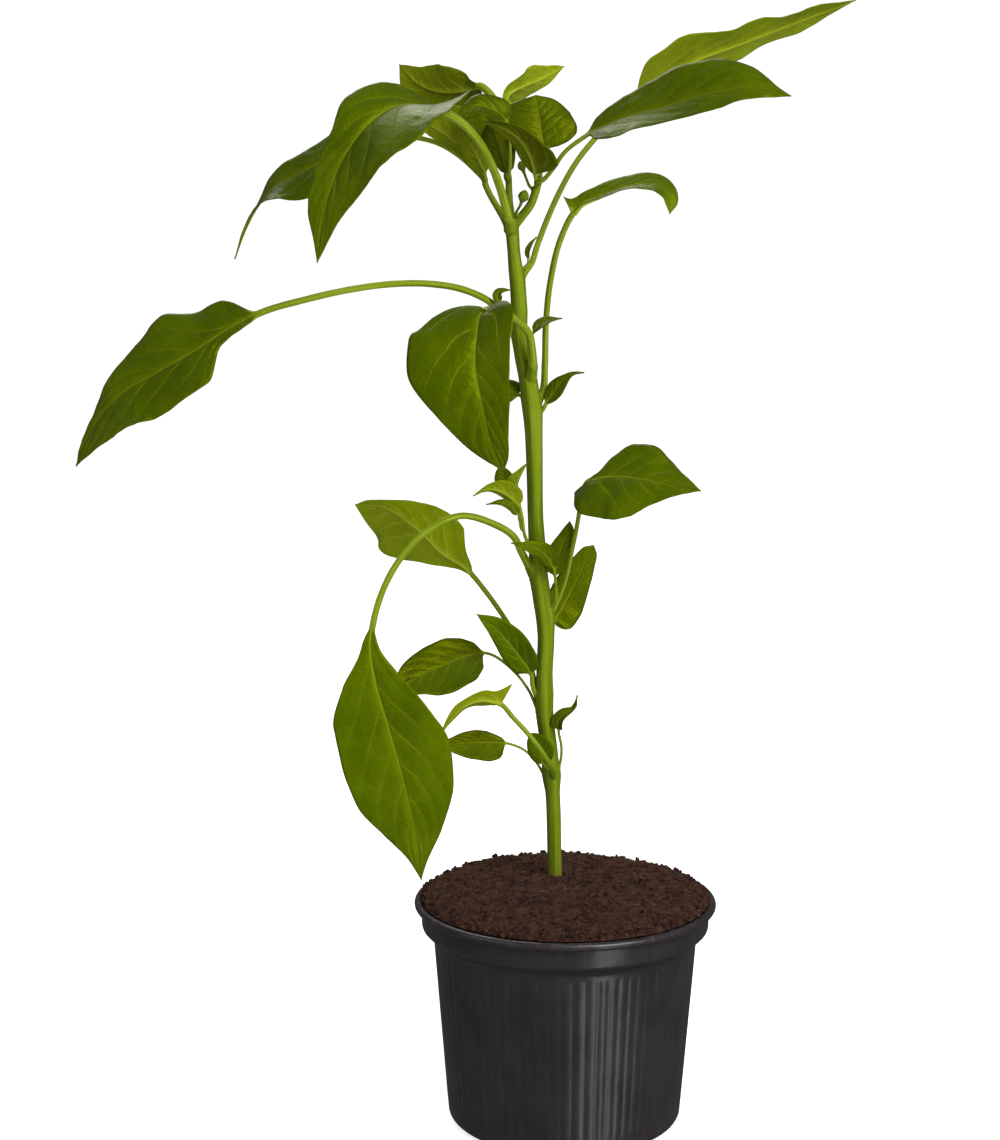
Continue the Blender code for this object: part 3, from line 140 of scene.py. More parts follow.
LEAVES = {
    "leaf_01": dict(
        at=(222, -158),
        stalk=((-17.2, -4.4, 229), (-20.5, -7.5, 236), (-29, -12, 242), (-41, -17, 245.5),
               (-54, -22, 240), (-64.5, -26, 229), (-71.5, -30, 215), (-73.5, -31.6, 207.6)),
        rib=((-74.6, -33, 199.5), (-73, -35.5, 186), (-68, -37.5, 168), (-61.5, -38.5, 143.5),
             (-57.5, -37, 123.5), (-56, -34, 107)),
        face=((-0.25, -1, 0.05), (-0.05, -1, 0.12), (0.1, -1, -0.1)),
        left=(1.8, 4.2, 10.2, 16.2, 20.8, 18.4, 10.5, 3.3),
        right=(2.0, 4.6, 12.4, 20.4, 21.1, 19.3, 11.6, 3.7), join=0.07, fold=(10, 6, 4), curl=-8,
        wave=(0.8, 2.5, 0.4), stem=(1.75, 1.25), tone=0.22),
    "leaf_02": dict(
        at=(171.5, 150),
        stalk=((-14.6, 10, 184), (-23.4, 16, 199), (-31.2, 18, 210), (-36.4, 19.2, 216.4)),
        rib=((-40, 20, 220.2), (-47.5, 22, 224.5), (-58.5, 27, 234), (-73.5, 32, 243), (-84.5, 34, 243.5)),
        face=((0.15, 0.95, 0.25), (0.1, 0.95, 0.25), (-0.1, 0.9, 0.3)),
        left=(1.8, 4.6, 13.2, 14.3, 12, 7.6, 3.3, 2.1), right=(1.6, 2.8, 5, 10.5, 16.6, 19.8, 18.6, 11),
        join=0.06, fold=(6, 6, 4), curl=8, wave=(0.6, 2, 0.0), stem=(1.2, 1.05), tone=0.9),
    "leaf_03": dict(
        at=(165, 178),
        stalk=((-14.5, 5, 173), (-21, 7, 181), (-31.5, 8, 187.5)),
        rib=((-38.5, 5, 187), (-47, 0, 184.5), (-58, -6, 180.5), (-66.5, -12, 175)),
        face=((-0.2, -0.8, 0.5), (-0.25, -0.85, 0.45), (-0.4, -0.9, 0.2)),
        left=(5, 8.5, 11.5, 13, 13.5, 12, 8.5, 4.5), right=(3, 6, 8.5, 10, 10, 9, 7, 3.5),
        fold=(8, 6, 4), curl=6, wave=(0.5, 2, 0.3), stem=(0.7, 0.6), relief=0.3, tone=-0.9,
        tones=(0.2, -0.9)),
    "leaf_04": dict(
        at=(139, -75), drop=2.0,
        stalk=((-7, -7, 147), (-14, -11, 158), (-21, -14, 166.5), (-25.6, -16, 172.0)),
        rib=((-29.0, -17.0, 173.5), (-33.6, -18.0, 174.1), (-39.7, -20.0, 172.2), (-45.1, -21.0, 167.3), (-49.0, -22.0, 160.8)),
        face=((-0.1, 0.75, 0.5), (-0.25, 0.85, 0.45), (-0.6, 0.7, 0.4)),
        left=(3.0, 3.8, 4.2, 3.6, 2.6, 2.0, 1.4, 0.8), right=(2.6, 3.4, 3.8, 3.2, 2.6, 2.1, 1.5, 0.8),
        join=0.05, fold=(16, 10, 6), curl=0, ear=(0, (5.4, 0.0, 8.6), 0.16), wave=(0.4, 2, 0),
        stem=(1.25, 1.0), tone=0.5),
    "leaf_05": dict(
        at=(138.5, 170),
        stalk=((-11.5, 7, 143.5), (-16, 8, 148), (-23, 7.5, 151)),
        rib=((-30, 5, 152), (-38, 2, 152.5), (-49, -2, 152.5)),
        face=((-0.1, -0.85, 0.5), (-0.1, -0.85, 0.5), (-0.3, -0.85, 0.4)),
        left=(3.5, 6.3, 8, 8.6, 8, 7, 4.8, 2.4), right=(1.5, 2.5, 3.8, 4.8, 5, 4.5, 3.2, 1.8),
        fold=(8, 6, 4), curl=6, wave=(0.2, 2, 0), stem=(0.6, 0.55), relief=0.2, tone=-0.6, tones=(0.2, -1.3)),
    "leaf_06": dict(
        at=(141.5, -112), drop=1.5,
        stalk=((-8.0, -1.9, 143.6), (-8.6, -2.5, 145)),
        rib=((-10.0, -3.4, 149), (-11.8, -4.2, 153.5), (-13.6, -4.8, 158.0)),
        face=((-0.2, -0.9, 0.4), (-0.2, -0.9, 0.4), (-0.2, -0.9, 0.3)),
        half=(4.2, 6.0), peak=(0.45, 0.45), tip=0.6, fold=(12, 8, 4), curl=0,
        wave=(0, 2, 0), stem=(0.6, 0.5), tone=-0.6),
    "leaf_07": dict(
        at=(170.5, -168),
        stalk=((-13.2, 2.2, 176), (-13.4, 2.2, 179.5)),
        rib=((-19, 0, 189), (-26, -3, 198), (-35, -8, 206)),
        face=((-0.45, -0.85, 0.3), (-0.4, -0.85, 0.35), (-0.3, -0.9, 0.3)),
        half=(6.2, 7.4), peak=(0.28, 0.38), tip=1.0, fold=(14, 10, 6), curl=0,
        wave=(0.3, 3, 0), stem=(1.0, 0.9), tone=-0.3),
    "leaf_08": dict(
        at=(205.5, -20), drop=3.0,
        stalk=((-1.2, -1.5, 216), (1.8, -6, 230), (4.4, -9.5, 245), (5.4, -11, 253.5),
               (7.8, -14.5, 258.6)),
        rib=((11.5, -17.5, 260.0), (17, -19.5, 260.8), (27.5, -25, 260.5), (36.5, -29, 259),
             (49, -34, 257)),
        face=((0.1, -0.85, 0.5), (0.1, -0.88, 0.45), (0.2, -0.9, 0.35)),
        left=(1.8, 3.4, 8.4, 13.8, 14.4, 10.8, 6, 2.5), right=(14, 16, 18, 18.4, 15.5, 9.5, 4.5, 1.5),
        join=0.04, fold=(8, 6, 4), curl=-12, lobe=(0, 10.0), wave=(0.5, 2, 0.5),
        stem=(1.05, 0.9), tone=-0.35),
    "leaf_09": dict(
        at=(201.5, 40),
        stalk=((-3.9, 6.2, 200.8), (-4.0, 7.8, 201.0)),
        rib=((-1.4, 10, 205.2), (5.5, 13.5, 218), (11.3, 17, 229.5)),
        face=((0.3, -0.85, 0.35), (0.25, -0.9, 0.3), (0.2, -0.9, 0.2)),
        left=(5.5, 6.8, 7.6, 8, 7.6, 6.6, 5.0, 3.4), right=(7.2, 7.8, 8.0, 7.2, 6.2, 5.2, 4.0, 2.8),
        join=0.05, fold=(6, 4, 4), curl=0, lobe=(3.5, 4.0), wave=(0.2, 2, 0), stem=(0.7, 0.6), relief=0.3, tone=-0.5),
    "leaf_10": dict(
        at=(207.5, -40), drop=1.5,
        stalk=((-3.9, -3.5, 210.7), (-4.1, -4.5, 215.6), (-4.6, -5.0, 220.0)),
        rib=((-4.2, -5.0, 223.6), (-2.7, -5.0, 229.8), (-0.4, -5.0, 236.1), (1.1, -5.0, 241.9)),
        face=((0.1, -1, 0.2), (0.1, -1, 0.15), (0.15, -1, 0.1)),
        left=(2.6, 4.4, 5.6, 5.4, 4.6, 3.6, 2.4, 1.2), right=(1.6, 2.8, 3.8, 4.4, 4.4, 4.0, 3.0, 1.8),
        join=0.10, fold=(14, 10, 4), curl=0, wave=(0, 2, 0), stem=(0.6, 0.5), tone=-0.5),
    "leaf_11": dict(
        start=(-4.2, -4.6, 216.4),
        stalk=((-4.4, -6.4, 219.9), (-5.0, -7.6, 223.6)),
        rib=((-7.0, -9.0, 227.7), (-10.1, -11.0, 231.1), (-15.2, -13.0, 233.3), (-21.7, -15.0, 234.8)),
        face=((-0.2, -0.9, 0.4), (-0.2, -0.9, 0.4), (-0.1, -0.8, 0.6)),
        left=(1.4, 2.4, 3.2, 3.6, 3.6, 3.0, 1.6, 0.7), right=(2.6, 3.8, 4.4, 4.2, 3.4, 2.4, 1.2, 0.5),
        join=0.08, fold=(16, 12, 6), curl=0, wave=(0, 2, 0), stem=(0.55, 0.5), tone=-0.6),
    "leaf_12": dict(
        at=(283.0, -12), drop=1.6,
        stalk=((-9.2, -1.4, 285), (-8.4, -1.7, 286.6)),
        rib=((-5.6, -2.0, 290.4), (-1.6, -2.2, 295.8), (1.6, -2.2, 298.4), (6.5, -2.0, 299)),
        face=((-0.5, -0.8, 0.4), (-0.4, -0.8, 0.5), (-0.1, -0.6, 0.8)),
        left=(1.6, 2.8, 3.8, 4.2, 3.4, 2.0, 1.0, 0.5), right=(1.4, 2.4, 3.4, 3.8, 3.2, 1.9, 1.0, 0.5),
        fold=(10, 8, 4), curl=0, wave=(0, 2, 0), stem=(0.8, 0.8), tone=-0.8),
    "leaf_13": dict(
        at=(288.5, 168), drop=1.4,
        stalk=((-17.6, 1.2, 289.6), (-18.4, 1.5, 290)),
        rib=((-22, 3, 291.2), (-28, 5, 291.2), (-35, 7, 289)),
        face=((-0.1, -0.8, 0.5), (-0.1, -0.8, 0.5), (-0.1, -0.8, 0.5)),
        left=(3.6, 4.6, 5.0, 5.0, 4.4, 3.6, 2.4, 1.2), right=(3.6, 4.6, 5.0, 5.0, 4.4, 3.6, 2.4, 1.2),
        join=0.07, fold=(8, 6, 4), curl=0, wave=(0, 2, 0), stem=(0.7, 0.6), tone=-0.6),
    "leaf_14": dict(
        at=(310.5, -18),
        stalk=((-14.0, -1.6, 312.6), (-13.2, -2.0, 314)),
        rib=((-11.0, -2.4, 316.8), (-7.4, -2.8, 318.8), (-2, -3.0, 319.8)),
        face=((-0.5, -0.6, 0.6), (-0.4, -0.6, 0.7), (-0.2, -0.5, 0.8)),
        half=(3.2, 2.8), peak=(0.35, 0.35), tip=1.5, fold=(14, 10, 4), curl=0,
        wave=(0, 2, 0), stem=(0.55, 0.5), tone=-0.8),
    "leaf_15": dict(
        at=(299.5, -55),
        stalk=((-13.4, -5.4, 303), (-13.8, -7.4, 308), (-15, -10.2, 314.5),
               (-20, -14, 319.8), (-26, -19, 323.4), (-32, -24, 323)),
        rib=((-34.5, -31, 314), (-35, -35, 304), (-32.5, -38, 290), (-29.5, -37, 276.5),
             (-24.5, -33, 264)),
        face=((-0.3, -0.75, 0.5), (-0.15, -0.95, 0.25), (-0.05, -1, -0.15)),
        left=(13, 15, 14.5, 14, 12, 9.6, 7, 4), right=(14, 20.5, 25.4, 25.6, 21, 15.5, 8.6, 3.5),
        join=0.03, fold=(12, 9, 6), curl=(4, -10), lobe=(9, 3), wave=(0.4, 2, 0.5),
        stem=(2.05, 1.6), tone=-0.6),
    "leaf_16": dict(
        at=(230, -128), drop=2.0,
        stalk=((-16.0, -5.2, 235.4), (-18.6, -8.0, 247.4)),
        rib=((-21.3, -9.5, 251.1), (-25.1, -11.0, 253.9), (-30.5, -13.0, 255.3), (-36.2, -16.0, 253.0)),
        face=((-0.1, 0.85, 0.45), (-0.1, 0.85, 0.45), (-0.1, 0.8, 0.6)),
        left=(2.4, 3.8, 5.0, 5.4, 4.8, 2.8, 1.2, 0.6), right=(1.0, 1.6, 2.2, 2.4, 2.2, 1.6, 1.0, 0.6),
        join=0.10, fold=(14, 10, 6), curl=0, wave=(0.2, 2, 0), stem=(0.8, 0.7), tone=0.0),
    "leaf_17": dict(
        start=(-17.2, -6.2, 238.6),
        stalk=((-18.2, -8.0, 241.4), (-18.6, -12.0, 245.2)),
        rib=((-21.7, -14.0, 248.5), (-25.9, -16.0, 250.3), (-31.2, -18.0, 250.0)),
        face=((-0.4, -0.7, 0.6), (-0.3, -0.7, 0.65), (-0.2, -0.6, 0.75)),
        half=(2.6, 2.4), peak=(0.35, 0.35), tip=1.4, fold=(20, 14, 8), curl=0,
        wave=(0, 2, 0), stem=(0.55, 0.5), tone=-0.9),
    # its high tone is a painted sheen on the lit upper face
    "leaf_18": dict(
        at=(288.5, 20),
        stalk=((-9.4, 2.6, 291.6), (-8.6, 4.2, 301), (-8.2, 6, 317), (-6.4, 8, 334),
               (-2.4, 10, 350), (2.2, 11.6, 359.2)),
        rib=((5.0, 12.0, 362.6), (12.7, 12.5, 366.0), (22.3, 12.0, 369.5), (29.8, 10.0, 370.6), (36.1, 6.0, 369.0), (39.3, 3.0, 364.8), (38.9, 2.0, 359.1)),
        face=((-0.35, -0.5, 0.8), (-0.1, -0.55, 0.85), (0.6, -0.7, 0.3)),
        left=(3.2, 4, 5, 6, 6, 6, 5, 2.8), right=(2.5, 3, 3.6, 4.2, 4.4, 5, 5, 3.4),
        join=0.05, fold=(30, 12, 4), curl=0, ear=(0, (-4.2, -2.0, 7.6), 0.11), wave=(0.3, 2, 0),
        stem=(1.5, 1.2), tone=1.8),
    "leaf_19": dict(
        at=(316.5, 178),
        stalk=((-24.3, 0.1, 320.6), (-30, -0.5, 326), (-39, -2, 330.3), (-52, -6, 332.8),
               (-65, -10, 333), (-82, -16, 331), (-99, -22, 327.3), (-114, -26, 323)),
        rib=((-125, -29.5, 317.5), (-140, -33.5, 308), (-152.5, -36.5, 301),
             (-165.5, -39, 293), (-175, -41, 282), (-182, -42, 267)),
        face=((-0.25, -0.8, 0.55), (-0.35, -0.85, 0.4), (-0.7, -0.7, 0.2)),
        left=(2.6, 3.4, 4.6, 15.8, 17.4, 16.8, 12.5, 5.4), right=(6.0, 12.8, 14.4, 20.2, 15.6, 9.0, 4, 1.6),
        fold=(8, 6, 4), curl=(-8, -8), wave=(0.9, 3.2, 0.9), stem=(1.55, 1.3), tone=-0.85),
    "leaf_20": dict(
        at=(354.0, -118), drop=3.4,
        stalk=((-22.8, -5.2, 358.2), (-24.2, -7.6, 363.6), (-26.0, -11.0, 369.6), (-28.4, -14.5, 375.8),
               (-34.0, -21.0, 385.8), (-41.0, -27.0, 392.8), (-47.4, -30.6, 396.0)),
        rib=((-55, -38, 397.5), (-63.5, -46, 396.5), (-71.5, -51.5, 391), (-80.5, -56, 379.5),
             (-87, -58.5, 363.5), (-91, -58, 341.5)),
        face=((0.1, -0.6, 0.8), (-0.4, -0.8, 0.45), (-0.25, -0.95, -0.05)),
        left=(5.5, 12.5, 21.5, 25, 21.5, 14.5, 7.5, 3), right=(3, 6, 11.5, 14.5, 9.4, 8.4, 6, 2.4),
        join=0.03, fold=(22, 12, 6), curl=(-6, 0), lobe=(0, 1), ear=(0, (14.5, -4.0, 9.5)),
        wave=(0.8, 3, 0.6), stem=(1.9, 1.75), tone=-0.45),
    "leaf_21": dict(
        start=(-31.9, 6.9, 372.4),
        stalk=((-34.2, 8.4, 374.6), (-40, 12, 380), (-49, 17, 385.8), (-63, 23, 389)),
        rib=((-84, 31, 385), (-104.5, 36, 375.5), (-115.5, 37.5, 370), (-123, 38, 361.5),
             (-127.5, 37, 352.5), (-131.5, 36, 341.5)),
        face=((-0.2, -0.7, 0.65), (-0.4, -0.75, 0.5), (-0.85, 0.5, -0.1)),
        left=(8, 12, 13, 13.5, 13.5, 10.8, 3.6, 0.8), right=(7, 10, 11, 10.6, 9.2, 6.2, 1.6, 0.7),
        fold=(8, 6, 10), curl=(-8, -8), wave=(0.7, 3, 0.2), stem=(1.05, 1.0), tone=-0.7),
    "leaf_22": dict(
        start=(-22.9, 8.6, 373.0),
        stalk=((-24.0, 10.5, 384.2), (-26.3, 12.0, 397.8), (-29.5, 13.5, 404.4), (-33.6, 15.0, 407.7)),
        rib=((-35.9, 18.0, 407.2), (-43.3, 20.0, 406.0), (-51.1, 22.0, 406.5), (-58.5, 23.5, 409.8), (-65.0, 25.0, 416.5)),
        face=((0.1, 0.85, 0.5), (0.0, 0.9, 0.4), (-0.1, 0.9, 0.3)),
        left=(3.0, 6.0, 8.4, 10.2, 10.6, 9.0, 6.0, 2.8), right=(3, 6, 9, 11, 12, 10, 6, 2.5),
        join=0.06, fold=(0, 0, 0), curl=(6, -16), wave=(0.3, 2, 0), stem=(1.2, 1.5), relief=0.25, tone=-1.1),
    "leaf_23": dict(
        start=(-22.4, 8.4, 372.4),
        stalk=((-23.6, 13.0, 387.3), (-24.4, 16.0, 395.0), (-24.4, 18.0, 400.4)),
        rib=((-22.4, 21.0, 405.1), (-16.9, 27.0, 408.5), (-9.1, 33.0, 411.9), (-0.7, 39.0, 416.8)),
        face=((0.1, 0.75, 0.65), (0.1, 0.75, 0.65), (0.2, 0.75, 0.6)),
        left=(6, 9.5, 11.5, 11.5, 9.5, 7, 4.5, 2), right=(1.0, 2.5, 5.0, 7.5, 8.0, 6.4, 4, 1.8),
        join=0.06, fold=(6, 8, 4), curl=0, wave=(0.3, 2, 0), stem=(0.8, 0.65), tone=1.4),
    "leaf_24": dict(
        start=(-11.2, -3.0, 370.8),
        stalk=((-10.4, -1.4, 375.2), (-9.2, 0.0, 379.3), (-9.2, 1.0, 383.1)),
        rib=((-10.0, 2.5, 388.4), (-10.7, 4.0, 393.6), (-11.4, 6.0, 399.0), (-12.2, 8.0, 403.9)),
        face=((0.1, -0.95, 0.1), (0.05, -0.95, 0.35), (0.0, -0.85, 0.55)),
        left=(7, 10, 12, 13.5, 15, 16.4, 16, 12), right=(7, 11, 13.5, 14, 13, 12, 9.5, 6),
        join=0.05, fold=(14, 8, 0), curl=-20, wave=(0.4, 2, 0), stem=(0.9, 0.8), relief=0.35, tone=-1.1),
    "leaf_25": dict(
        start=(-11.6, -3.3, 370.6),
        stalk=((-12.0, -5.0, 371.4), (-12.6, -7.0, 373.4)),
        rib=((-13.5, -10.0, 377.2), (-15.4, -12.0, 381.9), (-18.8, -14.0, 386.6), (-24.0, -15.0, 390.2), (-32.6, -14.0, 393.2)),
        face=((0.25, 0.85, 0.3), (0.3, 0.8, 0.5), (0.2, 0.8, 0.6)),
        left=(5.5, 9.4, 9.0, 6.8, 5.2, 3.6, 2.0, 0.8), right=(2.2, 3.2, 4.2, 4.6, 4.4, 3.6, 2.4, 1.2),
        join=0.06, fold=(10, 8, 4), curl=(-6, -6), wave=(0.2, 2, 0), stem=(0.9, 0.8), tone=-1.1, tones=(-1.2, -0.2)),
    "leaf_26": dict(
        start=(-22.6, 6.0, 371.6),
        stalk=((-22.0, 1.5, 379.0), (-22.4, -3.0, 388.0), (-23.3, -5.0, 393.2)),
        rib=((-25.9, -7.0, 396.1), (-29.6, -9.0, 397.8), (-33.4, -11.0, 398.8), (-38.1, -12.0, 396.8), (-42.0, -12.6, 393.4)),
        face=((0.0, -0.85, 0.5), (-0.1, -0.8, 0.6), (-0.3, -0.8, 0.5)),
        left=(4, 5.4, 6.2, 6.4, 6.2, 5.6, 4.2, 2.0), right=(4, 5.6, 6.4, 6.2, 5.6, 4.6, 3.2, 1.6),
        join=0.08, fold=(16, 12, 6), curl=-10, wave=(0.2, 2, 0), stem=(0.7, 0.6), tone=-1.0),
    "leaf_27": dict(
        start=(-12.0, -5.0, 370.6),
        stalk=((-9.4, -6.6, 372), (-6.4, -8.6, 375.4), (-1.6, -11.4, 382), (5, -14, 387)),
        rib=((19.5, -22, 394), (34, -29, 397.5), (46.5, -34.5, 401), (62, -39.5, 403.5),
             (78.5, -43, 400.5)),
        face=((-0.25, -0.7, 0.7), (-0.15, -0.8, 0.55), (0.2, -0.85, 0.45)),
        left=(3.5, 6, 9, 12.5, 14.5, 14.5, 10, 3.5), right=(5, 10, 12.5, 11, 9.5, 8.5, 6, 2.5),
        fold=(20, 10, 4), curl=(-10, 4), wave=(0.5, 2, 0.2), stem=(0.95, 0.85), tone=-0.6),
    "leaf_28": dict(
        at=(336, 25),
        stalk=((-13.6, 5.4, 341), (-12, 7.5, 346), (-9, 11.5, 354), (-3, 18, 367.4),
               (4, 24.5, 379.5), (14, 32, 391.5), (26.5, 38, 404)),
        rib=((41.5, 44, 415), (53.5, 48, 420.8), (70, 54, 426.8), (90.5, 60, 434.6),
             (118, 66, 445)),
        face=((-0.5, 0.55, 0.65), (-0.3, 0.5, 0.8), (-0.35, 0.4, 0.85)),
        left=(2.5, 7.5, 13, 13.2, 12.6, 11.4, 8.4, 4.5), right=(6.4, 13, 13.2, 11.4, 9.4, 8, 6, 3),
        join=0.06, fold=(12, 10, 6), curl=(-6, 0), wave=(1.1, 3.5, 0.0), stem=(1.3, 1.15), tone=0.35, tones=(0.6, -0.7)),
    "leaf_29": dict(
        at=(141, -10), drop=1.6,
        stalk=((-2.1, 4.5, 143.3), (-1.5, 3.0, 150.2), (-2.8, 1.0, 157.9)),
        rib=((-2.7, -0.5, 161.5), (-0.3, -1.5, 165.3), (2.8, -2.0, 167.1), (4.5, -2.0, 172.7)),
        face=((-0.4, -0.8, 0.4), (-0.5, -0.7, 0.5), (-0.9, -0.3, 0.3)),
        left=(2.6, 3.4, 3.6, 3.0, 2.2, 1.5, 1.0, 0.5), right=(2.2, 3.0, 3.2, 2.8, 2.2, 1.7, 1.2, 0.6),
        join=0.08, fold=(24, 14, 6), curl=0, wave=(0.3, 3, 0), stem=(0.65, 0.55), tone=-0.6),
    "leaf_30": dict(
        at=(338.5, -20),
        stalk=((-15.3, -1.8, 340.6), (-15.2, -2.2, 342)),
        rib=((-15.2, -2.5, 344.6), (-14.2, -2.7, 347.4), (-12, -2.8, 350.6)),
        face=((-0.6, -0.4, 0.6), (-0.7, -0.4, 0.5), (-0.7, -0.4, 0.4)),
        half=(2.4, 2.2), peak=(0.4, 0.4), tip=1.5, fold=(14, 10, 4), curl=0,
        wave=(0, 2, 0), stem=(0.45, 0.4)),
    "leaf_31": dict(
        at=(322.6, -168), drop=1.4,
        stalk=((-24.8, -2.6, 323.3), (-25.9, -3.0, 325.6)),
        rib=((-26.7, -3.4, 327.8), (-26.3, -3.6, 329.5), (-24.8, -3.8, 330.3), (-22.1, -4.0, 330.5)),
        face=((-0.2, -0.8, 0.5), (-0.2, -0.8, 0.5), (-0.1, -0.8, 0.6)),
        left=(0.8, 1.4, 1.9, 2.2, 1.9, 1.3, 0.8, 0.4), right=(0.8, 1.3, 1.7, 1.9, 1.6, 1.1, 0.7, 0.4),
        join=0.10, fold=(16, 10, 6), curl=0, wave=(0, 2, 0), stem=(0.5, 0.4), tone=-0.3),
    "leaf_32": dict(
        start=(-31.6, 6.4, 370.6),
        stalk=((-31.4, 5.0, 372.3), (-31.6, 3.5, 374.2)),
        rib=((-33.5, 1.5, 378.2), (-36.1, 0.0, 383.4), (-39.1, -1.0, 388.2), (-42.5, -3.0, 392.9)),
        face=((-0.1, 0.9, 0.3), (-0.1, 0.9, 0.3), (-0.1, 0.9, 0.3)),
        left=(2.0, 3.0, 4.2, 5.0, 5.2, 4.6, 3.4, 1.8), right=(2.6, 3.6, 4.6, 5.2, 5.2, 4.6, 3.4, 1.8),
        join=0.08, fold=(10, 8, 4), curl=0, wave=(0.2, 2, 0), stem=(0.7, 0.6), tone=-1.3),
    "leaf_33": dict(
        start=(-17.6, -6.4, 240.6),
        stalk=((-17.8, -7.4, 246.1), (-18.4, -7.4, 248.5)),
        rib=((-19.4, -8.0, 252.4), (-19.8, -8.5, 256.3), (-18.2, -8.5, 260.6), (-15.6, -8.5, 264.8)),
        face=((-0.1, 0.9, 0.3), (-0.1, 0.9, 0.3), (-0.1, 0.9, 0.3)),
        left=(0.8, 1.0, 1.0, 1.0, 0.9, 0.8, 0.7, 0.5), right=(2.4, 3.8, 4.8, 5.2, 4.4, 2.8, 1.4, 0.7),
        join=0.10, fold=(14, 10, 6), curl=0, wave=(0, 2, 0), stem=(0.6, 0.6), tone=-0.1),
    "leaf_34": dict(
        start=(-18.4, -6.8, 242.8),
        stalk=((-19.3, -6.0, 248.7), (-20.5, -5.0, 250.9)),
        rib=((-22.0, -4.5, 253.9), (-24.0, -4.0, 257.8), (-25.9, -4.0, 263.2)),
        face=((-0.3, -0.9, 0.2), (-0.3, -0.9, 0.2), (-0.3, -0.9, 0.2)),
        half=(4.2, 4.2), peak=(0.5, 0.5), tip=0.7, fold=(12, 8, 4), curl=0,
        wave=(0, 2, 0), stem=(0.5, 0.45), tone=-0.6),
    # its very low tone is painted shade: the blade lies in the shadow of leaf_25 and leaf_26
    "leaf_35": dict(
        start=(-22.6, 7.6, 371.4),
        stalk=((-22.5, 6.4, 372.4), (-22.8, 5.0, 374.2)),
        rib=((-24.0, 4.0, 377.9), (-25.5, 3.0, 383.1), (-27.4, 2.0, 388.3), (-29.3, 2.0, 394.3)),
        face=((-0.1, 0.9, 0.3), (-0.1, 0.9, 0.3), (-0.1, 0.9, 0.3)),
        left=(2.4, 3.4, 4.4, 5.2, 5.8, 6, 5, 3), right=(2, 2.8, 3.6, 4.6, 5.6, 5.8, 5, 3),
        join=0.08, fold=(10, 8, 4), curl=0, wave=(0.2, 2, 0), stem=(0.9, 0.9), tone=-2.3),
    "leaf_36": dict(
        start=(-31.4, 6.6, 370.2),
        stalk=((-32.0, 8.0, 372.4), (-33.2, 9.0, 375.4)),
        rib=((-35.9, 9.0, 379.6), (-41.2, 9.0, 384.9), (-46.9, 8.0, 389.3), (-53.4, 8.0, 393.1), (-59.5, 8.0, 396.1)),
        face=((-0.1, 0.9, 0.3), (-0.1, 0.85, 0.4), (-0.1, 0.85, 0.4)),
        left=(8, 13, 15.5, 15.5, 14, 11, 7, 4), right=(1.6, 2.2, 3.0, 3.6, 4.0, 4.2, 3.6, 2),
        join=0.06, fold=(10, 8, 4), curl=0, wave=(0.3, 2, 0), stem=(0.7, 0.6), tone=-0.3),
}

# ---------------------------------------------------------- flower buds ---
BUDS = {
    "flower_bud_1": dict(start=(-19.8, -3.2, 359.6), neck=(-18.2, -5.2, 362.4),
                         centre=(-16.9, -6.0, 366.0), radius=2.1),
    "flower_bud_2": dict(start=(-15.2, -2.4, 370.4), neck=(-16.6, -2.8, 374.0),
                         centre=(-17.8, -3.0, 377.2), radius=1.7),
}


# ------------------------------------------------------------ small tools --


def cells(ix, iy, iz, seed):
    """A repeatable number from 0 to 1 for every cell of a grid."""
    n = (ix * 73856093) ^ (iy * 19349663) ^ (iz * 83492791) ^ (seed * 2654435761)
    n &= 0x7FFFFFFF
    n = ((n ^ (n >> 13)) * 1274126177) & 0x7FFFFFFF
    n = ((n ^ (n >> 15)) * 2246822519) & 0x7FFFFFFF
    n ^= n >> 16
    return (n & 0xFFFFFF) / float(0xFFFFFF)


def grain(p, seed=0):
    """Smooth value noise from 0 to 1 at the points p, one cell per unit."""
    p = np.asarray(p, float)
    base = np.floor(p).astype(np.int64)
    f = p - base
    f = f * f * (3 - 2 * f)
    total = 0.0
    for dx in (0, 1):
        wx = f[..., 0] if dx else 1 - f[..., 0]
        for dy in (0, 1):
            wy = f[..., 1] if dy else 1 - f[..., 1]
            for dz in (0, 1):
                wz = f[..., 2] if dz else 1 - f[..., 2]
                total = total + wx * wy * wz * cells(
                    base[..., 0] + dx, base[..., 1] + dy, base[..., 2] + dz, seed)
    return total


def layered(p, octaves, seed=0, gain=0.5):
    """Several layers of noise, centred on 0 and within about -1 to 1."""
    p = np.asarray(p, float)
    total, size, weight = 0.0, 1.0, 0.0
    for k in range(octaves):
        total = total + size * (grain(p * 2.03 ** k + 17.3 * k, seed + k) * 2 - 1)
        weight += size
        size *= gain
    return total / weight


def pebbles(p, seed=0):
    """Distance to the nearest of points scattered one to a cell, and a number of its own."""
    p = np.asarray(p, float)
    base = np.floor(p).astype(np.int64)
    best = np.full(p.shape[:-1], 9.0)
    label = np.zeros(p.shape[:-1])
    for dx in (-1, 0, 1):
        for dy in (-1, 0, 1):
            c = base[..., :2] + (dx, dy)
            zero = np.zeros_like(c[..., 0])
            qx = c[..., 0] + cells(c[..., 0], c[..., 1], zero, seed)
            qy = c[..., 1] + cells(c[..., 0], c[..., 1], zero + 1, seed)
            d = np.hypot(p[..., 0] - qx, p[..., 1] - qy)
            own = cells(c[..., 0], c[..., 1], zero + 2, seed)
            label = np.where(d < best, own, label)
            best = np.minimum(best, d)
    return best, label


def ease(x, a, b):
    """0 before a, 1 after b, smooth between."""
    t = np.clip((np.asarray(x, float) - a) / (b - a), 0, 1)
    return t * t * (3 - 2 * t)


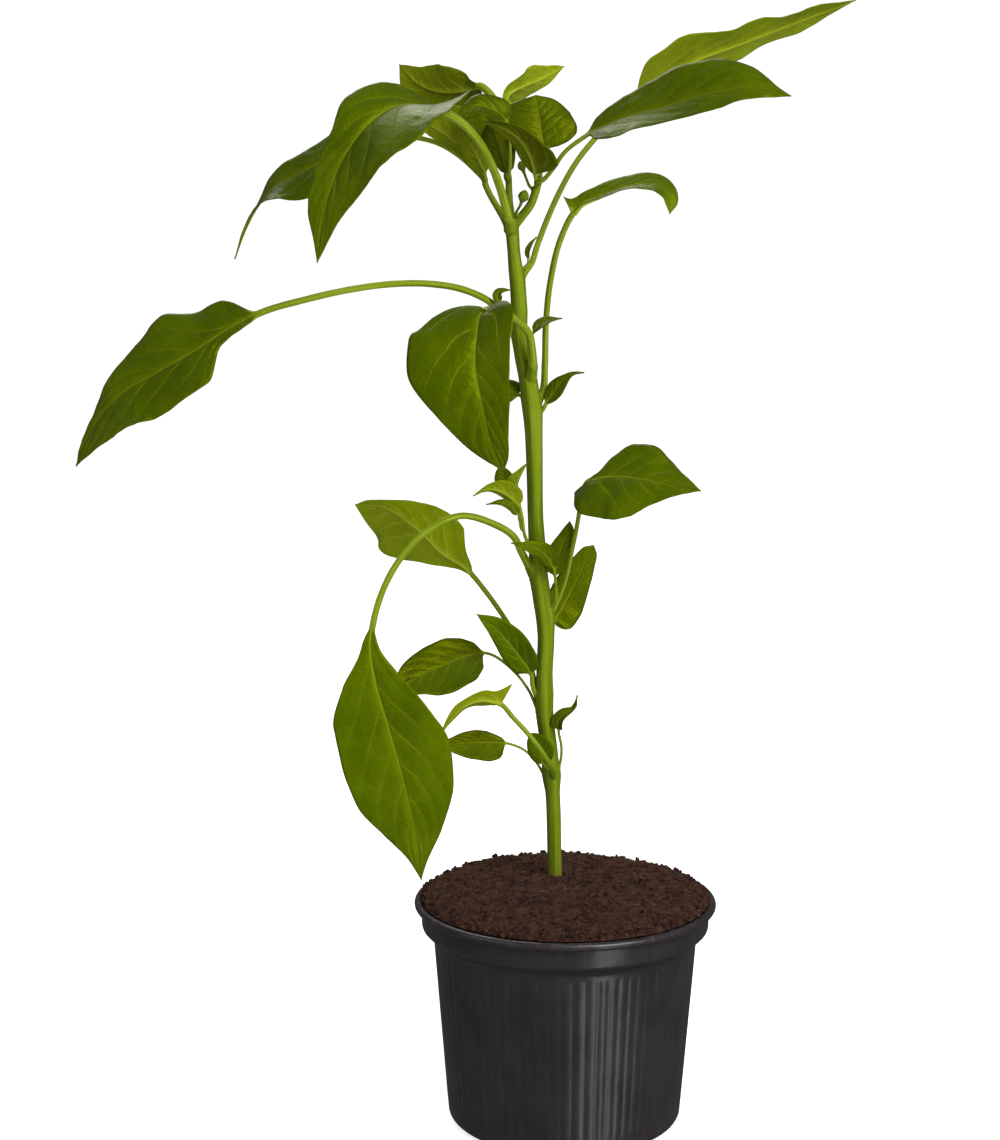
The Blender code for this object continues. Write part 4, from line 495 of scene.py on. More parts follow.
def solid(name, verts, faces, materials, attributes=(), face_material=None, smooth=True):
    """A mesh object from points in millimetres, faces turned outwards."""
    mesh = bpy.data.meshes.new(name)
    verts = np.asarray(verts, float) * MM
    faces = faces.tolist() if isinstance(faces, np.ndarray) else faces
    mesh.from_pydata(verts.tolist(), [], faces)
    for mat in materials:
        mesh.materials.append(mat)
    if face_material is not None:
        mesh.polygons.foreach_set("material_index", np.asarray(face_material, np.int32))
    for key, values in attributes:
        values = np.asarray(values, np.float32)
        kind, field = ("FLOAT", "value") if values.ndim == 1 else ("FLOAT_VECTOR", "vector")
        mesh.attributes.new(key, kind, "POINT").data.foreach_set(field, values.ravel())
    bm = bmesh.new()
    bm.from_mesh(mesh)
    bmesh.ops.recalc_face_normals(bm, faces=bm.faces)
    bm.to_mesh(mesh)
    bm.free()
    if smooth:
        mesh.shade_smooth()
    obj = bpy.data.objects.new(name, mesh)
    bpy.context.scene.collection.objects.link(obj)
    return obj


def settle(obj, nodes):
    """The piece rides on the plant and stands for its CAD nodes, which it hides."""
    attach(obj, "root")
    if nodes:
        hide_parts(*nodes)
    return obj


def arc(cx, cz, radius, start, end, steps):
    out = []
    for i in range(steps + 1):
        a = math.radians(start + (end - start) * i / steps)
        out.append((cx + radius * math.cos(a), cz + radius * math.sin(a)))
    return out


def spline(points, t):
    """Smooth curve through points, parameter t from 0 to len(points) - 1."""
    n = len(points)
    i = min(int(t), n - 2)
    f = t - i
    p1, p2 = Vector(points[i]), Vector(points[i + 1])
    p0 = Vector(points[i - 1]) if i > 0 else 2 * p1 - p2
    p3 = Vector(points[i + 2]) if i + 2 < n else 2 * p2 - p1
    d0 = max((p1 - p0).length, 1e-6)
    d1 = max((p2 - p1).length, 1e-6)
    d2 = max((p3 - p2).length, 1e-6)
    m1 = ((p1 - p0) / d0 * d1 + (p2 - p1) / d1 * d0) / (d0 + d1) * d1
    m2 = ((p2 - p1) / d1 * d2 + (p3 - p2) / d2 * d1) / (d1 + d2) * d1
    f2, f3 = f * f, f * f * f
    return ((2 * f3 - 3 * f2 + 1) * p1 + (f3 - 2 * f2 + f) * m1
            + (-2 * f3 + 3 * f2) * p2 + (f3 - f2) * m2)


def lerp3(values, s):
    a, b, c = values
    return a + (b - a) * 2 * s if s < 0.5 else b + (c - b) * (2 * s - 1)


def pair(value):
    return value if isinstance(value, tuple) else (value, value)


def stem_at(z):
    for a, b in zip(STEM, STEM[1:]):
        if a[2] <= z <= b[2]:
            f = (z - a[2]) / (b[2] - a[2])
            return [p + (q - p) * f for p, q in zip(a, b)]
    raise ValueError(z)


def smooth_table(widths, s):
    """Smooth curve through the widths at WIDTH_STATIONS, 0 at both ends."""
    xs = (0.0,) + WIDTH_STATIONS + (1.0,)
    ys = (0.0,) + tuple(widths) + (0.0,)
    slopes = []
    for i in range(len(xs)):
        if i in (0, len(xs) - 1):
            a, b = (0, 1) if i == 0 else (i - 1, i)
            slopes.append((ys[b] - ys[a]) / (xs[b] - xs[a]))
            continue
        d0 = (ys[i] - ys[i - 1]) / (xs[i] - xs[i - 1])
        d1 = (ys[i + 1] - ys[i]) / (xs[i + 1] - xs[i])
        slopes.append(0.0 if d0 * d1 <= 0 else 2 * d0 * d1 / (d0 + d1))
    for i in range(len(xs) - 1):
        if s <= xs[i + 1]:
            w = xs[i + 1] - xs[i]
            f = (s - xs[i]) / w
            f2, f3 = f * f, f * f * f
            return ((2 * f3 - 3 * f2 + 1) * ys[i] + (f3 - 2 * f2 + f) * w * slopes[i]
                    + (-2 * f3 + 3 * f2) * ys[i + 1] + (f3 - f2) * w * slopes[i + 1])
    return 0.0


def half_width(spec, right, s):
    """Width of one half of a blade in mm, from its table or its formula."""
    if s <= 0 or s >= 1:
        return 0.0
    if "left" in spec:
        return smooth_table(spec["right" if right else "left"], s)
    peak, tip = pair(spec["peak"])[right], spec["tip"]
    base = peak * tip / (1 - peak)
    return spec["half"][right] * (s / peak) ** base * ((1 - s) / (1 - peak)) ** tip


# ------------------------------------------------------------------ leaves --


AXES = {}                       # every grown axis: points x, y, z, radius


def resampled(points, spacing):
    """Points x, y, z, radius set out evenly along a smooth curve."""
    route = [p[:3] for p in points]
    out = []
    for i in range(len(points) - 1):
        gap = (Vector(route[i + 1]) - Vector(route[i])).length
        steps = max(1, int(round(gap / spacing)))
        for j in range(steps):
            f = j / steps
            out.append((*spline(route, i + f), points[i][3] + (points[i + 1][3] - points[i][3]) * f))
    out.append(tuple(points[-1]))
    return out


def route_of(name, spec):
    """Points along a leaf or bud from inside what bears it to its tip.

    Returns the points, how many come before the blade, and the distance from
    the first point to the skin that the stalk grows out of.
    """
    if "stem" in spec:
        r0 = spec["stem"][0]
        onward = [Vector(p) for p in spec["stalk"]]
    else:
        r0 = 0.55
        onward = [Vector(spec["neck"]), Vector(spec["centre"])]
    if "at" in spec:
        z, bearing = spec["at"]
        out = Vector((math.cos(math.radians(bearing)), math.sin(math.radians(bearing)), 0))
        drop = spec.get("drop", 2.6 * r0 + 1.2)
        ax, ay, az, ar = stem_at(z - drop)
        bx, by, bz, br = stem_at(z - 0.25 * drop)
        points = [Vector((ax, ay, az)) + out * 0.25 * ar, Vector((bx, by, bz)) + out * 0.72 * br]
    else:
        start = Vector(spec["start"])
        best = None
        for key, line in AXES.items():
            if key == name or key in spec.get("not_on", ()):
                continue
            for i, q in enumerate(line):
                d = (Vector(q[:3]) - start).length - 0.5 * q[3]
                if best is None or d < best[0]:
                    best = (d, line, i)
        _, line, i = best
        way = 0.0
        while i > 0 and way < 1.2 + r0:
            way += (Vector(line[i][:3]) - Vector(line[i - 1][:3])).length
            i -= 1
        points = [Vector(line[i][:3]), start]
    skin = (points[1] - points[0]).length
    points += onward
    base = len(points) - 1
    if "rib" in spec:
        points += [Vector(p) for p in spec["rib"]]
    return points, base, skin


def grow_axes():
    """Fill AXES: stem, branches, then the stalks in the order they grow."""
    AXES["main_stem"] = resampled(STEM, 1.0)
    for k, branch in enumerate(BRANCHES):
        AXES["branch_%d" % (k + 1)] = resampled(branch, 0.7)
    for first in (True, False):
        for name, spec in LEAVES.items():
            if ("at" in spec) != first:
                continue
            points, base, _ = route_of(name, spec)
            r0 = spec["stem"][0]
            steps = 12 * base
            AXES[name] = [(*spline(points, base * i / steps), r0) for i in range(steps + 1)]


def foot_swell(r0, past):
    """How much a stalk thickens towards the skin it grows out of."""
    return 1 + 0.30 * math.exp(-max(0.0, past) / (1.5 * r0 + 0.6))


def fine_leaf(index, name, spec):
    """Rings of a leaf and, for each vertex, where it lies on the blade."""
    points, base, skin = route_of(name, spec)
    last = len(points) - 1
    r0, r1 = spec["stem"]
    young = "half" in spec and max(spec["half"]) < 9
    seed = 101 + 7 * index

    def tangent(t):
        e = 1e-3
        return (spline(points, min(t + e, last)) - spline(points, max(t - e, 0))).normalized()

    faces_dir = [Vector(f).normalized() for f in spec["face"]]

    def blade_normal(s, along):
        n = lerp3(faces_dir, s)
        return (n - n.dot(along) * along).normalized()

    fine = 240
    marks = [spline(points, base + (last - base) * i / fine) for i in range(fine + 1)]
    run = [0.0]
    for a, b in zip(marks, marks[1:]):
        run.append(run[-1] + (b - a).length)
    length = run[-1]

    def rib_t(s):
        want = s * length
        for i in range(fine):
            if run[i + 1] >= want:
                f = (want - run[i]) / max(run[i + 1] - run[i], 1e-9)
                return base + (last - base) * (i + f) / fine
        return float(last)

    widest = max(half_width(spec, side, s / 40) for side in (0, 1) for s in range(1, 40))
    columns = int(np.clip(round(widest / 0.85), 9, 26))
    k = np.arange(-columns, columns + 1) / columns
    u = np.sign(k) * np.abs(k) ** 1.18
    reach = np.abs(u)
    right = u > 0
    sgn = np.where(right, 1.0, -1.0)
    sgn[columns] = 0.0
    size = min(1.0, widest / 20.0)
    inner = slice(1, -1)

    join = spec.get("join", 0.09)
    curl_l, curl_r = pair(spec["curl"])
    lobe_l, lobe_r = spec.get("lobe", (0, 0))
    ear_side, ear, ear_long = (*spec.get("ear", (0, (0.0, 0.0, 0.0))), 0.30)[:3]
    if max(lobe_l, lobe_r) > 2 or ear_long < 0.2:
        join = 0.012
    amp, count, phase0 = spec["wave"]
    thickness = 0.34 if young else 0.38
    laterals = spec.get("veins", 5.2)
    relief = spec.get("relief", 0.55)

    def to3(v):
        return np.array(v[:], float)

    def round_ring(here, side, up, radius, groove, bend):
        a = u * math.pi / 2
        # a shallow channel runs along the upper side of a stalk
        dip = 1 - groove * np.exp(-(u / 0.34) ** 2)
        ridge = 1 + 0.05 * groove * 3 * np.exp(-((reach - 0.55) / 0.2) ** 2)
        rt = radius * dip * ridge
        tops = here + np.outer(np.sin(a) * rt, side) + np.outer(np.cos(a) * rt, up)
        rb = radius * (1 + 0.03 * np.cos(6 * a + bend))
        lows = here + np.outer(np.sin(a) * rb, side) - np.outer(np.cos(a) * rb, up)
        lows[[0, -1]] = tops[[0, -1]]
        return tops, lows

    def vein_phase(s):
        """Whole numbers on the lateral veins, for each column."""
        lean = 0.29 * min(1.0, s / 0.28) ** 0.8
        q = s - lean * reach - 0.07 * reach ** 2
        wob = layered(np.stack([s * 3.1 + sgn * 5, reach * 1.3,
                                np.full_like(u, seed * 0.37)], -1), 2, seed)
        spread = 1.0 + 0.35 * q
        return (q * spread - 0.035) * laterals + 0.42 * right + 0.16 * wob

    def blade_ring(s, here, along, side, up, radius):
        wl, wr = (half_width(spec, 0, s), half_width(spec, 1, s))
        least = radius * (1 - s) + 0.25
        # a lobe is rounded where it starts
        if lobe_l > 2:
            wl *= 1 - (1 - min(1.0, s / 0.022)) ** 2.2
        if lobe_r > 2:
            wr *= 1 - (1 - min(1.0, s / 0.022)) ** 2.2
        wl, wr = max(wl, least), max(wr, least)
        # margins are never quite even
        fray = 0.012 * size * 20
        wl += fray * float(layered([s * 14, 3.1, seed], 3, seed)) * min(1, 5 * s, 6 * (1 - s))
        wr += fray * float(layered([s * 14, 9.7, seed], 3, seed + 3)) * min(1, 5 * s, 6 * (1 - s))
        width = np.where(right, wr, wl)
        fold = math.radians(lerp3(spec["fold"], s))
        curl = np.radians(np.where(right, curl_r, curl_l))
        steps = 8
        y = np.zeros_like(u)
        h = np.zeros_like(u)
        for j in range(steps):
            m = (j + 0.5) / steps * reach
            # the halves spring from the midrib a little steeper than they run on
            a = fold + curl * m + math.radians(9) * np.exp(-m / 0.10) * size
            y += np.cos(a) * width * reach / steps
            h += np.sin(a) * width * reach / steps
        ends = min(1.0, 4 * s) * min(1.0, 4 * (1 - s))
        h += amp * reach ** 2 * np.sin(2 * math.pi * count * s + phase0 * 6.283
                                       + np.where(right, 1.7, 0.0)) * ends
        fade = min(1.0, s / 0.10) * min(1.0, (1 - s) / 0.06)
        x_mm = sgn * y
        y_mm = s * length
        spot = np.stack([x_mm * 0.16, np.full_like(u, y_mm * 0.16), np.full_like(u, seed * 1.7)], -1)
        h += 0.65 * size * layered(spot, 2, seed + 11) * reach * fade
        q = vein_phase(s)
        lift = np.abs(np.sin(math.pi * q)) ** 0.75
        rise = relief * (0.50 * size + 0.10) * lift * np.minimum(1, reach / 0.16) * (1 - reach ** 5) * fade
        pucker = 0.15 * size * layered(spot * 2.4 + 5.0, 2, seed + 21) * np.minimum(1, reach / 0.12) * fade
        edge = 0.22 * size * layered(
            np.stack([np.full_like(u, s * 22.0), sgn * 3.0, np.full_like(u, seed * 0.9)], -1),
            2, seed + 31) * reach ** 5 * fade
        h += rise + pucker + edge
        lobe = np.where(right, lobe_r, lobe_l)
        back = (lobe * np.sin(0.62 * math.pi * reach) * (1 - 0.5 * reach ** 6) * max(0.0, 1 - s / 0.35) ** 2
                * float(ease(s, 0.0, 0.012)))
        lift_ear = np.where(right == bool(ear_side), reach ** 1.5, 0.0) \
            * max(0.0, 1 - s / ear_long) ** 2 * float(ease(s, -0.004, 0.10 * ear_long))
        tilt = fold + curl * reach
        n = (np.outer(np.cos(tilt), up) - np.outer(np.sin(tilt) * sgn, side))
        n[columns] = up
        mid = (here + np.outer(x_mm, side) + np.outer(h, up) - np.outer(back, along)
               + np.outer(lift_ear, ear))
        half = thickness / 2 * np.sqrt(np.clip(1 - reach ** 14, 0, 1))
        rr = radius * (1 - s) ** 0.9 + 0.12
        dip = 0.10 * rr * np.exp(-(y / (0.55 * rr + 0.12)) ** 2) * min(1.0, s / 0.04)
        tops = mid + n * (half - dip)[:, None]
        keel = 1.35 * rr * np.exp(-(y / (0.62 * rr + 0.1)) ** 2)
        ribs = 0.16 * size * (1 - lift) ** 6 * np.minimum(1, reach / 0.1) * (1 - reach) * fade
        lows = mid - n * (half + keel + ribs)[:, None]
        lows[[0, -1]] = tops[[0, -1]]
        return tops, lows, x_mm, q

    rings, blade, flat = [], [], []
    seed_row = np.full_like(u, float(index))

    def add(tops, lows, s, x_mm, q, y_mm, stalk):
        rings.append(np.concatenate([tops, lows[::-1][inner]]))
        b = np.stack([u, np.full_like(u, s), q], -1)
        blade.append(np.concatenate([b, b[::-1][inner]]))
        f = np.stack([x_mm, np.full_like(u, y_mm), np.full_like(u, stalk)], -1)
        flat.append(np.concatenate([f, f[::-1][inner]]))

    # stalk, its frames carried back from the base of the blade
    along = tangent(base)
    up = blade_normal(0.0, along)
    stalk = []
    stalk_marks = [spline(points, base * i / 80) for i in range(81)]
    stalk_length = sum((b - a).length for a, b in zip(stalk_marks, stalk_marks[1:]))
    total = int(np.clip(round(stalk_length / 1.2), 6, 120))
    travelled = 0.0
    before = None
    for j in range(total, -1, -1):
        t = base * j / total
        along = tangent(t)
        up = (up - up.dot(along) * along).normalized()
        side = along.cross(up)
        here = spline(points, t)
        if before is not None:
            travelled += (here - before).length
        before = here
        f = t / base
        radius = r0 + (r1 - r0) * min(1.0, f * 1.6)
        past = stalk_length - travelled - skin
        radius *= 0.97 * foot_swell(r0, past) * (0.55 + 0.45 * float(ease(past, -skin, 0.2)))
        radius *= 1 + 0.015 * math.sin(j * 0.9 + seed)
        stalk.append((here, side, up, radius, travelled))
    for here, side, up, radius, way in reversed(stalk):
        tops, lows = round_ring(to3(here), to3(side), to3(up), radius, 0.16, seed)
        add(tops, lows, -way / 60.0, u * radius * 1.5, np.full_like(u, -9.0), -way, 1.0)

    spacing = 0.9 if not young else 0.5
    n = int(np.clip(round(length / spacing), 26, 118))
    ss = [(i / n) for i in range(1, n)]
    if max(lobe_l, lobe_r, 9 * any(ear)) > 2:
        ss = ([0.002, 0.005, 0.008, 0.012, 0.016, 0.021, 0.027, 0.034, 0.042, 0.051, 0.061, 0.072, 0.084]
              + [s for s in ss if 0.090 < s < 0.988])
    else:
        ss = [0.35 / length, 0.9 / length] + [s for s in ss if 1.3 / length < s < 0.988]
    ss += [0.991, 0.9965, 0.9993]
    for s in ss:
        t = rib_t(s)
        along = tangent(t)
        up = blade_normal(s, along)
        side = along.cross(up)
        here = to3(spline(points, t))
        tops, lows, x_mm, q = blade_ring(s, here, to3(along), to3(side), to3(up), r1 * 0.8)
        rtop, rlow = round_ring(here, to3(side), to3(up), r1, 0.16, seed)
        f = min(1.0, s / join)
        f = f * f * (3 - 2 * f)
        tops = rtop + (tops - rtop) * f
        lows = rlow + (lows - rlow) * f
        add(tops, lows, s, x_mm * f + u * r1 * 1.5 * (1 - f), q, s * length, 1 - f)

    ring_count = len(rings)
    n = len(rings[0])
    verts = np.concatenate(rings)
    blade = np.concatenate(blade)
    flat = np.concatenate(flat)
    i = np.arange(ring_count - 1)[:, None]
    j = np.arange(n)[None, :]
    m = (j + 1) % n
    faces = np.stack([i * n + j, i * n + m, (i + 1) * n + m, (i + 1) * n + j], -1).reshape(-1, 4)
    under = np.broadcast_to((j >= 2 * columns), (ring_count - 1, n)).reshape(-1).astype(np.int32)
    faces = faces.tolist()
    under = under.tolist()
    for row in (0, ring_count - 1):
        centre = verts[row * n:(row + 1) * n].mean(0)
        verts = np.vstack([verts, centre])
        blade = np.vstack([blade, blade[row * n + columns]])
        flat = np.vstack([flat, flat[row * n + columns]])
        c = len(verts) - 1
        for q in range(n):
            a, b = row * n + q, row * n + (q + 1) % n
            faces.append((a, b, c) if row else (b, a, c))
            under.append(0)
    per_phase = length / laterals * 0.62
    leaf_tone_and_shade = spec.get("tone", 0.0)
    extra = np.zeros((len(verts), 3))
    extra[:, 0] = per_phase
    # tone mixes the leaf's depth of green with painted shade and sheen; tones paints shade and light on each half by
    # how it faces the lamps
    halves = spec.get("tones", (0.0, 0.0))
    extra[:, 1] = leaf_tone_and_shade + np.where(blade[:, 0] > 0, halves[1], halves[0]) \
        * np.minimum(1, np.abs(blade[:, 0]) / 0.06)
    extra[:, 2] = index * 3.7
    return verts, faces, under, blade, flat, extra, young


# -------------------------------------------------------------------- stem --


def sweep(route, radii, sides, flare=None):
    """Closed round tube along a list of points."""
    rings = []
    side = None
    n = len(route)
    for j in range(n):
        here = Vector(route[j])
        ahead = Vector(route[min(j + 1, n - 1)])
        back = Vector(route[max(j - 1, 0)])
        along = (ahead - back).normalized()
        if side is None:
            side = Vector((1, 0, 0)) if abs(along.x) < 0.9 else Vector((0, 1, 0))
        side = (side - side.dot(along) * along).normalized()
        other = along.cross(side)
        rings.append([here + radii[j] * (math.cos(a) * side + math.sin(a) * other)
                      for a in (2 * math.pi * k / sides for k in range(sides))])
    verts = [tuple(v) for ring in rings for v in ring]
    faces = []
    for i in range(n - 1):
        for k in range(sides):
            m = (k + 1) % sides
            faces.append((i * sides + k, i * sides + m, (i + 1) * sides + m, (i + 1) * sides + k))
    faces.append(tuple(reversed(range(sides))))
    faces.append(tuple((n - 1) * sides + k for k in range(sides)))
    return verts, faces


def build_stem(leaf_material):
    lines = [AXES["main_stem"]] + [AXES["branch_%d" % (k + 1)] for k in range(len(BRANCHES))]
    stubs = []
    for name, spec in list(LEAVES.items()) + list(BUDS.items()):
        points, base, skin = route_of(name, spec)
        r0 = spec["stem"][0] if "stem" in spec else 0.55
        reach = skin + (2.4 * r0 + 1.0 if "stem" in spec else 0.5)
        steps = 24 * base
        way = 0.0
        before = None
        path = []
        for i in range(steps + 1):
            here = spline(points, base * i / steps)
            if before is not None:
                way += (here - before).length
            before = here
            if way > reach:
                break
            f = ease(way, reach - 1.2, reach)
            rise = 0.55 + 0.45 * float(ease(way, 0.0, skin + 0.2))
            path.append((*here, r0 * foot_swell(r0, way - skin) * (1.05 - 0.14 * float(f)) * rise))
        stubs.append(path[::3] if (len(path) - 1) % 3 == 0 else path[::3] + path[-1:])
    everything = []
    for line in lines:
        everything.append(sweep([p[:3] for p in line], [p[3] for p in line], 40))
    for stub in stubs:
        everything.append(sweep([p[:3] for p in stub], [p[3] for p in stub], 16))
    verts, faces = [], []
    for v, f in everything:
        n = len(verts)
        verts += v
        faces += [tuple(i + n for i in face) for face in f]
    rough = solid("stem_rough", verts, faces, [])
    mod = rough.modifiers.new("skin", "REMESH")
    mod.mode = "VOXEL"
    mod.voxel_size = 0.42 * MM
    mod.adaptivity = 0.0
    soft = rough.modifiers.new("soften", "SMOOTH")
    soft.factor = 0.5
    soft.iterations = 7
    bpy.context.view_layer.update()
    graph = bpy.context.evaluated_depsgraph_get()
    mesh = bpy.data.meshes.new_from_object(rough.evaluated_get(graph))
    bpy.data.objects.remove(rough, do_unlink=True)
    count = len(mesh.vertices)
    co = np.zeros(count * 3)
    mesh.vertices.foreach_get("co", co)
    co = co.reshape(-1, 3) / MM
    normals = np.zeros(count * 3)
    mesh.vertices.foreach_get("normal", normals)
    normals = normals.reshape(-1, 3)

    # where each point lies: angle around its own axis and distance along it
    samples, radii, frames, ways, owner = [], [], [], [], []
    for k, line in enumerate(lines + stubs):
        side = None
        way = 0.0
        for j, p in enumerate(line):
            here = Vector(p[:3])
            ahead = Vector(line[min(j + 1, len(line) - 1)][:3])
            back = Vector(line[max(j - 1, 0)][:3])
            along = (ahead - back).normalized()
            if side is None:
                side = Vector((1, 0, 0)) if abs(along.x) < 0.9 else Vector((0, 1, 0))
            side = (side - side.dot(along) * along).normalized()
            if j:
                way += (here - back).length if j == len(line) - 1 else (
                    here - Vector(line[j - 1][:3])).length
            samples.append(here[:])
            radii.append(p[3])
            frames.append((side[:], along.cross(side)[:]))
            ways.append(way)
            owner.append(k)
    samples = np.array(samples)
    radii = np.array(radii)
    frames = np.array(frames)
    ways = np.array(ways)
    owner = np.array(owner)
    angle = np.zeros(count)
    along_mm = np.zeros(count)
    who = np.zeros(count)
    for a in range(0, count, 4000):
        block = co[a:a + 4000]
        d = np.linalg.norm(block[:, None, :] - samples[None], axis=2) - radii[None]
        d[:, owner == 0] -= 0.25
        pick = d.argmin(1)
        rel = block - samples[pick]
        angle[a:a + 4000] = np.arctan2((rel * frames[pick, 1]).sum(1), (rel * frames[pick, 0]).sum(1))
        along_mm[a:a + 4000] = ways[pick]
        who[a:a + 4000] = owner[pick]
    # long low ridges, of which a pair runs down below every leaf joint
    trunk_skin = who == 0
    ridge = 0.12 * np.cos(5 * angle + 0.9 + along_mm * 0.012) \
        + 0.03 * np.cos(9 * angle - along_mm * 0.02)
    for name, spec in LEAVES.items():
        if "at" not in spec:
            continue
        z, bearing = spec["at"]
        r0 = spec["stem"][0]
        turn = angle - math.radians(bearing)
        turn = (turn + math.pi) % (2 * math.pi) - math.pi
        below = z - co[:, 2]
        near = np.exp(-(below - 2.5) ** 2 / (2 * 3.2 ** 2)) * np.exp(-(turn / 0.75) ** 2)
        ridge = ridge + 0.28 * r0 * near
        if r0 > 1.0:
            run_down = ease(below, 0, 4) * np.exp(-np.clip(below, 0, None) / 38.0)
            pairs = np.exp(-((np.abs(turn) - 0.62) / 0.20) ** 2)
            ridge = ridge + 0.20 * run_down * pairs
    ridge = np.where(trunk_skin, ridge, 0.0)
    co = co + normals * ridge[:, None]
    mesh.vertices.foreach_set("co", (co * MM).ravel())
    place = np.stack([np.cos(angle), np.sin(angle), along_mm], -1)
    mesh.attributes.new("around", "FLOAT_VECTOR", "POINT").data.foreach_set(
        "vector", place.astype(np.float32).ravel())
    mesh.attributes.new("fresh", "FLOAT", "POINT").data.foreach_set(
        "value", ease(co[:, 2], 330, 372).astype(np.float32))
    mesh.materials.clear()
    mesh.materials.append(leaf_material)
    mesh.name = "stem_skin_mesh"
    mesh.shade_smooth()
    mesh.update()
    obj = bpy.data.objects.new("stem_and_joints", mesh)
    bpy.context.scene.collection.objects.link(obj)
    return obj


# -------------------------------------------------------------------- buds --


def build_bud(name, spec, material):
    """A closed bud on its stalk: five lobes folded over each other, a ribbed cup below."""
    start, neck, centre = (Vector(spec[k]) for k in ("start", "neck", "centre"))
    r = spec["radius"]
    axis = (centre - neck).normalized()
    knots = [(start, 0.52), (start.lerp(neck, 0.5), 0.5), (neck, 0.55),
             (centre - axis * r * 1.25, 0.72), (centre - axis * r * 0.95, r * 0.62),
             (centre - axis * r * 0.62, r * 0.90), (centre - axis * r * 0.35, r * 0.99),
             (centre - axis * r * 0.25, r * 0.93), (centre, r * 0.96),
             (centre + axis * r * 0.35, r * 0.86), (centre + axis * r * 0.65, r * 0.62),
             (centre + axis * r * 0.86, r * 0.36), (centre + axis * r * 1.0, r * 0.10)]
    rings = []
    sides = 40
    side = Vector((1, 0, 0))
    total = (len(knots) - 1) * 6
    route = [k[0] for k in knots]
    marks = []
    for j in range(total + 1):
        t = j / 6
        i = min(int(t), len(knots) - 2)
        f = t - i
        f = f * f * (3 - 2 * f)
        radius = knots[i][1] * (1 - f) + knots[i + 1][1] * f
        here = spline(route, t)
        along = (spline(route, min(t + 1e-3, len(knots) - 1)) - spline(route, max(t - 1e-3, 0))).normalized()
        side = (side - side.dot(along) * along).normalized()
        other = along.cross(side)
        up = ((here - centre).dot(axis)) / r
        ring = []
        for k in range(sides):
            a = 2 * math.pi * k / sides
            cup = math.exp(-((up + 0.55) / 0.4) ** 2)
            lobes = 0.07 * cup * math.cos(5 * a)
            petals = 0.05 * float(ease(up, -0.2, 0.5)) * abs(math.sin(2.5 * (a + 0.5 * up)))
            rr = radius * (1 + lobes - petals)
            ring.append(tuple(here + rr * (math.cos(a) * side + math.sin(a) * other)))
            marks.append((math.cos(a), math.sin(a), up))
        rings.append(ring)
    n = sides
    verts = [v for ring in rings for v in ring]
    faces = []
    for i in range(len(rings) - 1):
        for k in range(n):
            m = (k + 1) % n
            faces.append((i * n + k, i * n + m, (i + 1) * n + m, (i + 1) * n + k))
    faces.append(tuple(range(n)))
    faces.append(tuple((len(rings) - 1) * n + k for k in range(n)))
    return solid(name, verts, faces, [material], [("around", marks)])

# --------------------------------------------------------------------- pot --


